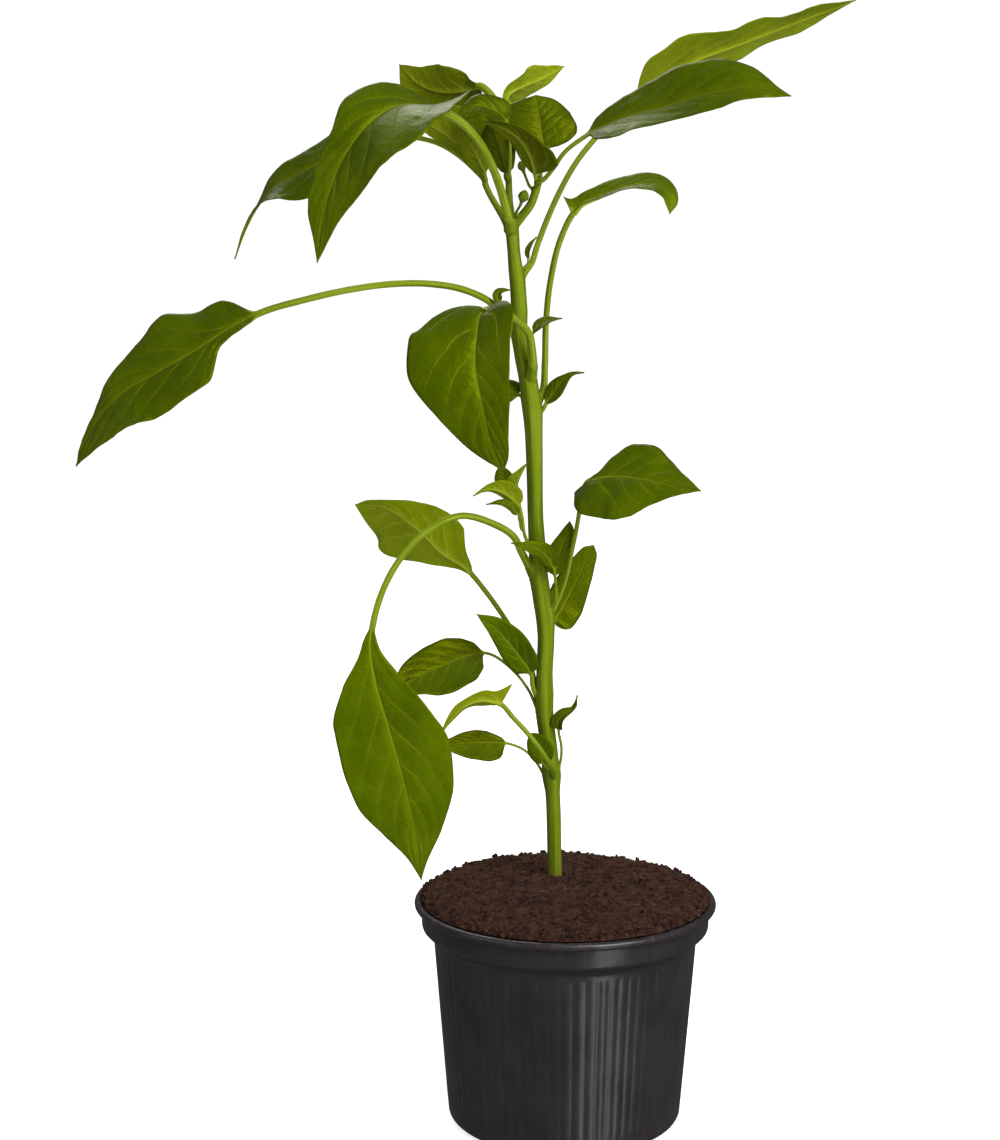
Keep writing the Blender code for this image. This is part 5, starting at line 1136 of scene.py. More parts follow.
def profile_points():
    """Outside and inside of the pot's wall, as radius, height and flute share."""
    lip_r = RIM_RADIUS - LIP_ROLL
    lip_z = POT_HEIGHT - LIP_ROLL
    foot_in = BODY_FOOT_RADIUS - FOOT_CORNER
    ch_in, ch_out = CHANNEL
    out = [(0.0, 0.0, 0)]
    out += [(r, 0.0, 0) for r in (8.0, 16.0, PAD_RADIUS - 0.3)]
    out += [(PAD_RADIUS, 0.05, 0), (ch_in - 0.5, CHANNEL_RISE - 0.2, 0), (ch_in, CHANNEL_RISE, 0),
            ((ch_in + ch_out) / 2, CHANNEL_RISE, 0), (ch_out, CHANNEL_RISE, 0),
            (ch_out + 0.4, CHANNEL_RISE - 0.2, 0), (ch_out + 1.8, 0.1, 0), (ch_out + 2.2, 0.0, 0)]
    out += [(r, z, 0) for r, z in arc(foot_in, FOOT_CORNER, FOOT_CORNER, -90, -4, 9)]

    def wall(z):
        return BODY_FOOT_RADIUS + (BODY_TOP_RADIUS - BODY_FOOT_RADIUS) * (z - FOOT_CORNER) / (
            BODY_TOP - FOOT_CORNER)

    for z, share in ((4.6, 0), (5.4, 0), (6.2, 0.1), (7.0, 0.5), (7.8, 0.9), (8.6, 1)):
        out.append((wall(z), z, share))
    for k in range(1, 18):
        z = 8.6 + (71.4 - 8.6) * k / 18
        out.append((wall(z), z, 1))
    for z, share in ((71.4, 1), (72.0, 0.9), (72.6, 0.5), (73.1, 0.1), (73.6, 0), (74.6, 0)):
        out.append((wall(z), z, share))
    # the step under the collar, with a small bead where it starts
    out += [(BODY_TOP_RADIUS + 0.15, BODY_TOP, 0), (BODY_TOP_RADIUS + 0.55, BODY_TOP + 0.55, 0),
            (BODY_TOP_RADIUS + 1.3, BODY_TOP + 1.2, 0), (COLLAR_RADIUS - 1.9, COLLAR_BOTTOM - 1.6, 0),
            (COLLAR_RADIUS - 0.9, COLLAR_BOTTOM - 1.0, 0), (COLLAR_RADIUS - 0.25, COLLAR_BOTTOM - 0.3, 0),
            (COLLAR_RADIUS, COLLAR_BOTTOM + 0.5, 0), (COLLAR_RADIUS + 0.03, COLLAR_BOTTOM + 2.0, 0),
            (COLLAR_RADIUS + 0.10, COLLAR_BOTTOM + 4.2, 0),
            (COLLAR_RADIUS + 0.16, lip_z - LIP_ROLL - 0.5, 0),
            (COLLAR_RADIUS + 0.24, lip_z - LIP_ROLL + 0.05, 0),
            (COLLAR_RADIUS + 0.55, lip_z - LIP_ROLL + 0.22, 0)]
    out += [(r, z, 0) for r, z in arc(lip_r, lip_z, LIP_ROLL, -62, 96, 14)]
    top = COLLAR_RADIUS - WALL
    out += [(lip_r - 0.7, POT_HEIGHT - 0.12, 0), (top + 0.9, POT_HEIGHT - 0.4, 0),
            (top + 0.35, POT_HEIGHT - 0.9, 0), (top + 0.1, POT_HEIGHT - 1.8, 0),
            (top - 0.1, COLLAR_BOTTOM + 0.4, 0), (BODY_TOP_RADIUS + 1.4 - WALL, BODY_TOP + 2.0, 0),
            (BODY_TOP_RADIUS - WALL, BODY_TOP, 0), (BODY_FOOT_RADIUS - WALL, FOOT_CORNER + 0.6, 0),
            (foot_in - 0.6, BASE_WALL, 0), (ch_out + 2.4, BASE_WALL, 0),
            (ch_out + 0.6, CHANNEL_RISE + BASE_WALL, 0), (ch_in - 0.6, CHANNEL_RISE + BASE_WALL, 0),
            (PAD_RADIUS - 0.4, BASE_WALL, 0), (0.0, BASE_WALL, 0)]
    return out


def build_pot(material):
    segments = FLUTES * FLUTE_STEPS
    theta = 2 * np.pi * np.arange(segments) / segments
    # rounded ribs with a narrow groove between each two
    uneven = theta + 0.010 * np.sin(7 * theta + 1.0) + 0.008 * np.sin(12 * theta + 2.0)
    lobe = np.abs(np.cos(uneven * FLUTES / 2)) ** 0.9
    # a moulding is not perfectly even from rib to rib
    rib = np.round(theta * FLUTES / (2 * np.pi)).astype(int) % FLUTES
    own = cells(rib.astype(np.int64), np.zeros_like(rib, np.int64), np.zeros_like(rib, np.int64), 5)
    verts, rows = [], []
    for radius, z, share in profile_points():
        if radius <= 0:
            rows.append([len(verts)])
            verts.append((0.0, 0.0, z))
            continue
        r = radius + share * FLUTE_DEPTH * (lobe - 0.66) * (0.45 + 0.9 * own)
        # thin walls stand a little out of round
        sway = 0.10 * np.sin(2 * theta + 0.6) + 0.06 * np.sin(3 * theta + 2.0)
        r = r + sway * float(ease(z, 4, 60)) * (1 if radius > 40 else 0)
        row = len(verts)
        rows.append(list(range(row, row + segments)))
        verts += np.stack([r * np.cos(theta), r * np.sin(theta), np.full(segments, z)], -1).tolist()
    faces = []
    for a, b in zip(rows, rows[1:]):
        for k in range(segments):
            m = (k + 1) % segments
            if len(a) == 1:
                faces.append((a[0], b[k], b[m]))
            elif len(b) == 1:
                faces.append((a[k], a[m], b[0]))
            else:
                faces.append((a[k], a[m], b[m], b[k]))
    pot = solid("pot_moulding", verts, faces, [material])

    # drain holes through the raised channel of the base
    cv, cf = [], []
    mid = sum(CHANNEL) / 2
    for k in range(DRAIN_HOLES):
        a = 2 * math.pi * (k + 0.5) / DRAIN_HOLES
        n = len(cv)
        for z in (-2.0, 6.0):
            for q in range(28):
                b = 2 * math.pi * q / 28
                cv.append((mid * math.cos(a) + DRAIN_HOLE_RADIUS * math.cos(b),
                           mid * math.sin(a) + DRAIN_HOLE_RADIUS * math.sin(b), z))
        for q in range(28):
            m = (q + 1) % 28
            cf.append((n + q, n + m, n + 28 + m, n + 28 + q))
        cf.append(tuple(n + q for q in reversed(range(28))))
        cf.append(tuple(n + 28 + q for q in range(28)))
    cutter = solid("drain_cutter", cv, cf, [material], smooth=False)
    mod = pot.modifiers.new("drain_holes", "BOOLEAN")
    mod.operation = "DIFFERENCE"
    mod.solver = "EXACT"
    mod.object = cutter
    bpy.context.view_layer.update()
    mesh = bpy.data.meshes.new_from_object(pot.evaluated_get(bpy.context.evaluated_depsgraph_get()))
    pot.modifiers.clear()
    pot.data = mesh
    bpy.data.objects.remove(cutter, do_unlink=True)
    mesh.shade_smooth()
    mesh.set_sharp_from_angle(angle=math.radians(50))
    return pot


# -------------------------------------------------------------------- soil --


def soil_height(x, y):
    """Height of the heaped peat, lumps and crumbs included."""
    r = np.hypot(x, y)
    rs = np.array([0.0, 14.0, 28.0, 42.0, SOIL_SPILL - 6.0, SOIL_SPILL - 2.4,
                   SOIL_SPILL - 0.9, SOIL_SPILL + 2.0])
    zs = np.array([SOIL_CROWN - 0.3, SOIL_CROWN - 1.0, SOIL_PLATEAU + 0.6, SOIL_PLATEAU - 0.5,
                   SOIL_PLATEAU - 1.4, POT_HEIGHT + 1.7, POT_HEIGHT + 0.6, POT_HEIGHT - 0.6])
    z = np.interp(r, rs, zs)
    p = np.stack([x, y, np.zeros_like(x)], -1)
    inward = ease(SOIL_SPILL - r, 0.0, 6.0)
    z = z + inward * (0.9 * layered(p / 13.0, 2, 41) + 0.9 * layered(p / 5.2, 2, 43))
    d1, own1 = pebbles(p / 3.1 + 0.25 * np.stack([layered(p / 2.0, 1, 47)] * 3, -1), 51)
    d2, own2 = pebbles(p / 1.45, 53)
    crumb = (0.25 + 0.75 * inward)
    z = z + crumb * (0.95 * (own1 - 0.35) * np.sqrt(np.clip(1 - (d1 / 0.75) ** 2, 0, 1))
                     + 0.42 * np.sqrt(np.clip(1 - (d2 / 0.72) ** 2, 0, 1)) * own2
                     + 0.26 * layered(p / 0.85, 2, 57))
    return z, own1, own2


def build_soil(soil_material, fibre_material):
    rng = np.random.default_rng(20)
    n = 196
    line = np.linspace(-1, 1, n + 1)
    gx, gy = np.meshgrid(line, line, indexing="ij")
    # a square grid drawn out to a disc
    big = np.maximum(np.abs(gx), np.abs(gy))
    length = np.hypot(gx, gy)
    scale = np.where(length > 0, big / np.maximum(length, 1e-9), 1.0)
    mix = big ** 2
    k = scale * mix + (1 - mix) * 1.0
    edge = SOIL_SPILL - 0.35
    x = gx * k * edge
    y = gy * k * edge
    theta = np.arctan2(y, x)
    around = np.stack([np.cos(theta) * 9, np.sin(theta) * 9, np.zeros_like(theta)], -1)
    ragged = 0.55 * layered(around * 3.0, 3, 61)
    push = 1 + ragged * ease(np.hypot(x, y), edge - 5, edge) / edge
    x, y = x * push, y * push
    jig = np.stack([x, y, np.zeros_like(x)], -1)
    x = x + 0.14 * layered(jig / 0.7, 1, 63)
    y = y + 0.14 * layered(jig / 0.7 + 31.0, 1, 65)
    z, own1, own2 = soil_height(x, y)
    tone = 0.55 * own1 + 0.45 * own2
    verts = np.stack([x, y, z], -1).reshape(-1, 3)
    tones = tone.reshape(-1)
    idx = np.arange((n + 1) ** 2).reshape(n + 1, n + 1)
    faces = np.stack([idx[:-1, :-1], idx[1:, :-1], idx[1:, 1:], idx[:-1, 1:]], -1).reshape(-1, 4)
    faces = faces.tolist()
    # the block of peat in the pot, below the heap
    ring = list(idx[0, :-1]) + list(idx[:-1, -1]) + list(idx[-1, :0:-1]) + list(idx[:0:-1, 0])
    wall = 0.45
    inside = COLLAR_RADIUS - WALL - wall
    skirt = [(SOIL_SPILL - 0.6, POT_HEIGHT + 0.15), (inside + 0.3, POT_HEIGHT + 0.1),
             (inside - 0.1, POT_HEIGHT - 1.2), (inside - 0.4, COLLAR_BOTTOM + 1.0),
             (BODY_TOP_RADIUS + 1.0 - WALL - wall, BODY_TOP + 2.2),
             (BODY_TOP_RADIUS - WALL - wall, BODY_TOP),
             (BODY_FOOT_RADIUS - WALL - wall, FOOT_CORNER + 1.2),
             (BODY_FOOT_RADIUS - WALL - wall - 1.2, CHANNEL_RISE + BASE_WALL + GAP)]
    verts = verts.tolist()
    tones = tones.tolist()
    before = [int(i) for i in ring]
    angles = [math.atan2(verts[i][1], verts[i][0]) for i in before]
    for radius, height in skirt:
        row = []
        for a in angles:
            row.append(len(verts))
            verts.append((radius * math.cos(a), radius * math.sin(a), height))
            tones.append(0.4)
        for q in range(len(row)):
            m = (q + 1) % len(row)
            faces.append((before[q], before[m], row[m], row[q]))
        before = row
    faces.append(tuple(before))
    kind = [0] * len(faces)

    ico_v, ico_f = ball(0)
    ball_v, ball_f = ball(1)

    def crumb(cx, cy, cz, size, fine, tone, squash):
        v, f = (ball_v, ball_f) if fine else (ico_v, ico_f)
        turn = rng.normal(size=(3, 3))
        turn, _ = np.linalg.qr(turn)
        shape = v * (1 + 0.32 * (rng.random((len(v), 1)) - 0.5) * 2)
        shape = shape * (size * np.array([1.0, 0.6 + 0.5 * rng.random(), squash])) @ turn
        base = len(verts)
        verts.extend((shape + (cx, cy, cz)).tolist())
        tones.extend([tone] * len(v))
        for a in f:
            faces.append(tuple(int(i) + base for i in a))
            kind.append(0)

    def on_top(cx, cy):
        z, _, _ = soil_height(np.array([cx]), np.array([cy]))
        return float(z[0])

    # crumbs all over, thicker towards the edge where they tumble against the lip
    total = 1500
    a = rng.random(total) * 2 * np.pi
    r = np.sqrt(rng.random(total)) * (SOIL_SPILL - 1.0)
    zs, _, _ = soil_height(r * np.cos(a), r * np.sin(a))
    for i in range(total):
        size = 0.28 + 0.75 * rng.random() ** 3
        crumb(r[i] * math.cos(a[i]), r[i] * math.sin(a[i]), zs[i] + 0.25 * size, size,
              size > 0.8, rng.random(), 0.5 + 0.4 * rng.random())
    total = 520
    a = rng.random(total) * 2 * np.pi
    r = SOIL_SPILL - 0.6 - 2.6 * rng.random(total) ** 1.3
    zs, _, _ = soil_height(r * np.cos(a), r * np.sin(a))
    for i in range(total):
        size = 0.35 + 0.9 * rng.random() ** 2
        crumb(r[i] * math.cos(a[i]), r[i] * math.sin(a[i]), zs[i] + 0.35 * size, size,
              size > 0.8, rng.random() * 0.8, 0.6 + 0.4 * rng.random())

    # fibres of peat and coir, most lie flat and a few stick up
    total = 1150
    for i in range(total):
        a0 = rng.random() * 2 * math.pi
        r0 = math.sqrt(rng.random()) * (SOIL_SPILL - 2.5)
        heading = rng.random() * 2 * math.pi
        long = 2.0 + 5.5 * rng.random() ** 2
        bend = (rng.random() - 0.5) * 1.6
        stand = 0.9 if rng.random() < 0.05 else 0.12 * rng.random()
        thick = 0.075 + 0.10 * rng.random() ** 2
        steps = 5
        cx, cy = r0 * math.cos(a0), r0 * math.sin(a0)
        pts = []
        for j in range(steps + 1):
            f = j / steps
            hx = heading + bend * f
            pts.append((cx, cy, f))
            cx += math.cos(hx) * long / steps * math.sqrt(1 - min(0.8, stand) ** 2)
            cy += math.sin(hx) * long / steps * math.sqrt(1 - min(0.8, stand) ** 2)
        px = np.array([p[0] for p in pts])
        py = np.array([p[1] for p in pts])
        if np.hypot(px, py).max() > SOIL_SPILL - 0.4:
            continue
        pz, _, _ = soil_height(px, py)
        lift = pz.mean() * 0.4 + pz * 0.6
        base = len(verts)
        colour = rng.random()
        for j in range(steps + 1):
            f = j / steps
            t = thick * (1 - 0.5 * f)
            z = lift[j] + 0.15 + stand * long * f * 0.8 + 0.25 * math.sin(3 * f + i)
            hx = heading + bend * f
            sx, sy = -math.sin(hx), math.cos(hx)
            verts.append((px[j] + sx * t, py[j] + sy * t, z))
            verts.append((px[j] - sx * t, py[j] - sy * t, z))
            verts.append((px[j], py[j], z + 1.5 * t))
            tones.extend([colour] * 3)
        for j in range(steps):
            for q in range(3):
                m = (q + 1) % 3
                faces.append((base + 3 * j + q, base + 3 * j + m,
                              base + 3 * j + 3 + m, base + 3 * j + 3 + q))
                kind.append(1)
        faces.append((base, base + 2, base + 1))
        faces.append((base + 3 * steps, base + 3 * steps + 1, base + 3 * steps + 2))
        kind += [1, 1]
    soil = solid("peat_bed", verts, faces, [soil_material, fibre_material],
                 [("tone", tones)], kind, smooth=False)
    return soil


def ball(level):
    bm = bmesh.new()
    bmesh.ops.create_icosphere(bm, subdivisions=level + 1, radius=1.0)
    v = np.array([p.co[:] for p in bm.verts])
    f = [[q.index for q in face.verts] for face in bm.faces]
    bm.free()
    return v, f

# --------------------------------------------------------------- materials --


class Graph:
    """Short ways of writing a node tree."""

    def __init__(self, name):
        self.mat = bpy.data.materials.new(name)
        self.mat.use_nodes = True
        self.tree = self.mat.node_tree
        self.shader = self.tree.nodes["Principled BSDF"]

    def node(self, kind, **props):
        made = self.tree.nodes.new(kind)
        for key, value in props.items():
            setattr(made, key, value)
        return made

    def set(self, socket, value):
        if isinstance(value, bpy.types.NodeSocket):
            self.tree.links.new(value, socket)
        elif isinstance(value, (tuple, list)) and len(value) == 3 and socket.type == "RGBA":
            socket.default_value = (*value, 1.0)
        else:
            socket.default_value = value

    def math(self, op, a, b=None, c=None, clamp=False):
        made = self.node("ShaderNodeMath", operation=op, use_clamp=clamp)
        for socket, value in zip(made.inputs, (a, b, c)):
            if value is not None:
                self.set(socket, value)
        return made.outputs[0]

    def split(self, vector):
        made = self.node("ShaderNodeSeparateXYZ")
        self.set(made.inputs[0], vector)
        return made.outputs

    def join(self, x, y, z):
        made = self.node("ShaderNodeCombineXYZ")
        for socket, value in zip(made.inputs, (x, y, z)):
            self.set(socket, value)
        return made.outputs[0]

    def attribute(self, name, output="Vector"):
        made = self.node("ShaderNodeAttribute", attribute_type="GEOMETRY", attribute_name=name)
        return made.outputs[output]

    def step(self, x, low, high, to_low=0.0, to_high=1.0):
        """Smooth step, runs down instead of up if low is above high."""
        made = self.node("ShaderNodeMapRange", interpolation_type="SMOOTHSTEP", clamp=True)
        self.set(made.inputs["Value"], x)
        self.set(made.inputs["From Min"], low)
        self.set(made.inputs["From Max"], high)
        made.inputs["To Min"].default_value = to_low
        made.inputs["To Max"].default_value = to_high
        return made.outputs[0]

    def mix(self, factor, a, b, blend="MIX"):
        made = self.node("ShaderNodeMix", data_type="RGBA", blend_type=blend)
        made.clamp_factor = True
        self.set(made.inputs["Factor"], factor)
        self.set(made.inputs[6], a)
        self.set(made.inputs[7], b)
        return made.outputs[2]

    def noise(self, vector, scale, detail=3.0, rough=0.55, distort=0.0):
        made = self.node("ShaderNodeTexNoise", noise_dimensions="3D")
        if vector is not None:
            self.set(made.inputs["Vector"], vector)
        made.inputs["Scale"].default_value = scale
        made.inputs["Detail"].default_value = detail
        made.inputs["Roughness"].default_value = rough
        made.inputs["Distortion"].default_value = distort
        return made.outputs["Fac"]

    def net(self, vector, scale, feature="DISTANCE_TO_EDGE", random=1.0):
        made = self.node("ShaderNodeTexVoronoi", feature=feature, voronoi_dimensions="3D")
        self.set(made.inputs["Vector"], vector)
        made.inputs["Scale"].default_value = scale
        made.inputs["Randomness"].default_value = random
        return made.outputs["Distance"] if "Distance" in made.outputs else made.outputs[0]

    def bump(self, height, distance, strength=1.0, normal=None):
        made = self.node("ShaderNodeBump")
        made.inputs["Strength"].default_value = strength
        made.inputs["Distance"].default_value = distance
        self.set(made.inputs["Height"], height)
        if normal is not None:
            self.set(made.inputs["Normal"], normal)
        return made.outputs[0]

    def place(self):
        """Position on the object, in millimetres."""
        made = self.node("ShaderNodeTexCoord")
        scaled = self.node("ShaderNodeVectorMath", operation="SCALE")
        self.set(scaled.inputs[0], made.outputs["Object"])
        scaled.inputs["Scale"].default_value = 1000.0
        return scaled.outputs[0]

    def warp(self, vector, scale, amount):
        made = self.node("ShaderNodeTexNoise", noise_dimensions="3D")
        self.set(made.inputs["Vector"], vector)
        made.inputs["Scale"].default_value = scale
        made.inputs["Detail"].default_value = 1.0
        shift = self.node("ShaderNodeVectorMath", operation="SUBTRACT")
        self.set(shift.inputs[0], made.outputs["Color"])
        shift.inputs[1].default_value = (0.5, 0.5, 0.5)
        size = self.node("ShaderNodeVectorMath", operation="SCALE")
        self.set(size.inputs[0], shift.outputs[0])
        size.inputs["Scale"].default_value = amount
        both = self.node("ShaderNodeVectorMath", operation="ADD")
        self.set(both.inputs[0], vector)
        self.set(both.inputs[1], size.outputs[0])
        return both.outputs[0]


def leaf_skin(name, upper, dark, light, vein, stalk_dark, stalk_light, rough, gloss, glow):
    """Skin of a blade and its stalk: veins, their fine net, mottling and pores."""
    g = Graph(name)
    u, s, phase = g.split(g.attribute("blade"))
    x, y, stalk = g.split(g.attribute("flat"))
    per_phase, tone, seed = g.split(g.attribute("leafdata"))
    reach = g.math("ABSOLUTE", u)
    mm = g.join(x, y, seed)

    # lateral veins: whole numbers of the phase, thinner towards the margin
    wander = g.noise(mm, 0.16, 2.0, 0.5)
    walk = g.math("ADD", phase, g.math("MULTIPLY", g.math("SUBTRACT", wander, 0.5), 0.16))
    off = g.math("ABSOLUTE", g.math("SUBTRACT", g.math("FRACT", g.math("ADD", walk, 0.5)), 0.5))
    off_mm = g.math("MULTIPLY", off, per_phase)
    thick = g.math("MULTIPLY", g.math("POWER", g.math("SUBTRACT", 1.04, reach), 0.9), 0.42)
    lateral = g.step(g.math("DIVIDE", off_mm, g.math("ADD", thick, 0.02)), 1.5, 0.25)
    lateral = g.math("MULTIPLY", lateral, g.step(reach, 0.02, 0.10))
    lateral = g.math("MULTIPLY", lateral, g.step(reach, 0.98, 0.72))
    lateral = g.math("MULTIPLY", lateral, g.step(s, 0.93, 0.80))
    lateral = g.math("MULTIPLY", lateral, g.step(g.noise(mm, 0.075, 2.0, 0.5), 0.30, 0.62, 0.25, 1.0))
    lateral = g.math("MULTIPLY", lateral, g.step(s, 0.02, 0.10))
    halo = g.math("MULTIPLY", g.step(off_mm, 2.6, 0.2), g.step(s, 0.02, 0.14))
    halo = g.math("MULTIPLY", halo, g.step(reach, 1.0, 0.4))

    # midrib
    xr = g.math("ABSOLUTE", x)
    rib_w = g.math("ADD", g.math("MULTIPLY", g.math("SUBTRACT", 1.0, s, clamp=True), 0.48), 0.10)
    ratio = g.math("DIVIDE", xr, rib_w)
    rib = g.step(ratio, 1.35, 0.55)
    rib_halo = g.step(xr, 3.2, 0.3)

    # net of small veins between the laterals, in two sizes
    bent = g.warp(mm, 0.35, 2.2)
    coarse = g.net(bent, 0.26)
    coarse = g.step(coarse, 0.085, 0.0)
    tiny = g.net(g.warp(mm, 1.1, 0.7), 0.85)
    tiny_line = g.step(tiny, 0.10, 0.0)
    field = g.step(reach, 0.99, 0.85)
    coarse = g.math("MULTIPLY", coarse, field)

    # colour of the blade
    cloud = g.noise(mm, 0.055, 3.0, 0.55)
    speckle = g.noise(mm, 0.9, 3.0, 0.65)
    cloud = g.step(cloud, 0.28, 0.74)
    blade = g.mix(cloud, dark, light)
    blade = g.mix(g.math("MULTIPLY", g.step(speckle, 0.35, 0.75), 0.26 if upper else 0.2), blade,
                  tuple(c * 1.35 for c in light))
    blade = g.mix(g.math("MULTIPLY", halo, 0.14), blade,
                  tuple(0.45 * a + 0.55 * b for a, b in zip(vein, light)))
    blade = g.mix(g.math("MULTIPLY", tiny_line, 0.05 if upper else 0.09), blade, vein)
    blade = g.mix(g.math("MULTIPLY", coarse, 0.06 if upper else 0.14), blade, vein)
    blade = g.mix(g.math("MULTIPLY", lateral, 0.42 if upper else 0.6), blade, vein)
    blade = g.mix(g.math("MULTIPLY", rib_halo, 0.12), blade, vein)
    blade = g.mix(g.math("MULTIPLY", rib, g.step(s, 1.0, 0.1, 0.45, 0.85)), blade, vein)
    # the very margin is a thin paler line
    margin = g.step(reach, 0.975, 0.999)
    blade = g.mix(g.math("MULTIPLY", margin, 0.5), blade, vein)

    # each leaf has its own depth of green; the same scale also carries painted shade, darkening leaves and halves
    # that lie in shadow, and painted sheen, lightening leaves that catch the light
    leaf_green_and_shade = g.node("ShaderNodeVectorMath", operation="SCALE")
    g.set(leaf_green_and_shade.inputs[0], blade)
    g.set(leaf_green_and_shade.inputs["Scale"], g.math("ADD", 1.0, g.math("MULTIPLY", tone, 0.30)))
    blade = leaf_green_and_shade.outputs[0]

    # colour of the stalk: long streaks and darker blotches
    lines = g.noise(g.join(g.math("MULTIPLY", u, 5.5), g.math("MULTIPLY", y, 0.035), seed), 1.0, 3.0, 0.6)
    blotch = g.noise(g.join(g.math("MULTIPLY", u, 1.2), g.math("MULTIPLY", y, 0.09), seed), 1.0, 2.0, 0.5)
    stem = g.mix(g.step(lines, 0.36, 0.66), stalk_dark, stalk_light)
    stem = g.mix(g.math("MULTIPLY", g.step(blotch, 0.5, 0.8), 0.35), stem, stalk_dark)
    colour = g.mix(g.step(stalk, 0.15, 0.85), blade, stem)
    g.set(g.shader.inputs["Base Color"], colour)

    # gloss: duller over the veins and in small patches
    shine = g.math("ADD", rough, g.math("MULTIPLY", g.math("SUBTRACT", g.noise(mm, 0.35, 3.0, 0.6), 0.5), 0.26))
    shine = g.math("ADD", shine, g.math("MULTIPLY", lateral, 0.10))
    g.set(g.shader.inputs["Roughness"], shine)
    g.shader.inputs["Specular IOR Level"].default_value = gloss
    g.shader.inputs["Specular Tint"].default_value = (0.92, 1.0, 0.0, 1.0)
    g.shader.inputs["Subsurface Weight"].default_value = glow
    g.shader.inputs["Subsurface Radius"].default_value = (0.5, 1.0, 0.12)
    g.shader.inputs["Subsurface Scale"].default_value = 0.0009

    # relief: cells of the net puff up between their veins, pores over all
    puff = g.step(g.net(bent, 0.26), 0.0, 0.45)
    puff2 = g.step(tiny, 0.0, 0.4)
    pore = g.noise(mm, 3.4, 2.0, 0.5)
    sign = -1.0 if upper else 1.0
    height = g.math("MULTIPLY", lateral, 0.55 * sign)
    height = g.math("ADD", height, g.math("MULTIPLY", rib, 0.35 * sign))
    height = g.math("ADD", height, g.math("MULTIPLY", puff, 0.24 if upper else -0.16))
    height = g.math("ADD", height, g.math("MULTIPLY", puff2, 0.13 if upper else -0.08))
    height = g.math("ADD", height, g.math("MULTIPLY", pore, 0.09))
    height = g.math("MULTIPLY", height, g.math("SUBTRACT", 1.0, stalk, clamp=True))
    height = g.math("ADD", height, g.math("MULTIPLY", g.math("MULTIPLY", lines, stalk), 0.45))
    g.set(g.shader.inputs["Normal"], g.bump(height, 0.00032, 1.0))
    return g.mat


def stem_skin(name, dark, light, pale):
    """Green skin of the stem: long streaks over its ridges, small pores, a paler top, a corky foot and painted shade
    down its side away from the key light.
    """
    g = Graph(name)
    c, si, way = g.split(g.attribute("around"))
    fresh = g.attribute("fresh", "Fac")
    point = g.place()
    lines = g.noise(g.join(g.math("MULTIPLY", c, 1.5), g.math("MULTIPLY", si, 1.5),
                           g.math("MULTIPLY", way, 0.016)), 1.0, 3.0, 0.5)
    fine = g.noise(g.join(g.math("MULTIPLY", c, 6.0), g.math("MULTIPLY", si, 6.0),
                          g.math("MULTIPLY", way, 0.045)), 1.0, 3.0, 0.55)
    cloud = g.noise(point, 0.07, 3.0, 0.55)
    base = g.mix(g.step(lines, 0.32, 0.62), dark, light)
    base = g.mix(g.math("MULTIPLY", g.step(fine, 0.50, 0.74), 0.40), base, pale)
    base = g.mix(g.math("MULTIPLY", g.step(cloud, 0.5, 0.75), 0.25), base, dark)
    base = g.mix(g.math("MULTIPLY", fresh, 0.25), base, tuple(0.8 * v for v in light))
    # painted shade: the side of the stem turned towards -X, away from the key light, is darkened
    base = g.mix(g.math("MULTIPLY", g.step(c, -0.15, -0.95), 0.55), base, tuple(0.55 * v for v in dark))
    # the foot is a little corky where it meets the peat
    height_mm = g.split(point)[2]
    cork = g.math("MULTIPLY", g.step(height_mm, 106.0, 97.0), g.step(g.noise(point, 1.2, 3.0, 0.6), 0.35, 0.62))
    base = g.mix(g.math("MULTIPLY", cork, 0.55), base, (0.14, 0.11, 0.035))
    g.set(g.shader.inputs["Base Color"], base)
    rough = g.math("ADD", 0.40, g.math("MULTIPLY", fine, 0.16))
    g.set(g.shader.inputs["Roughness"], rough)
    g.shader.inputs["Specular IOR Level"].default_value = 0.36
    g.shader.inputs["Specular Tint"].default_value = (0.95, 1.0, 0.10, 1.0)
    g.shader.inputs["Subsurface Weight"].default_value = 0.12
    g.shader.inputs["Subsurface Radius"].default_value = (0.5, 1.0, 0.2)
    g.shader.inputs["Subsurface Scale"].default_value = 0.0012
    pores = g.step(g.net(point, 1.1, "F1"), 0.0, 0.3)
    height = g.math("ADD", g.math("MULTIPLY", lines, 1.2), g.math("MULTIPLY", fine, 0.35))
    height = g.math("ADD", height, g.math("MULTIPLY", pores, 0.12))
    g.set(g.shader.inputs["Normal"], g.bump(height, 0.00030, 1.0))
    return g.mat


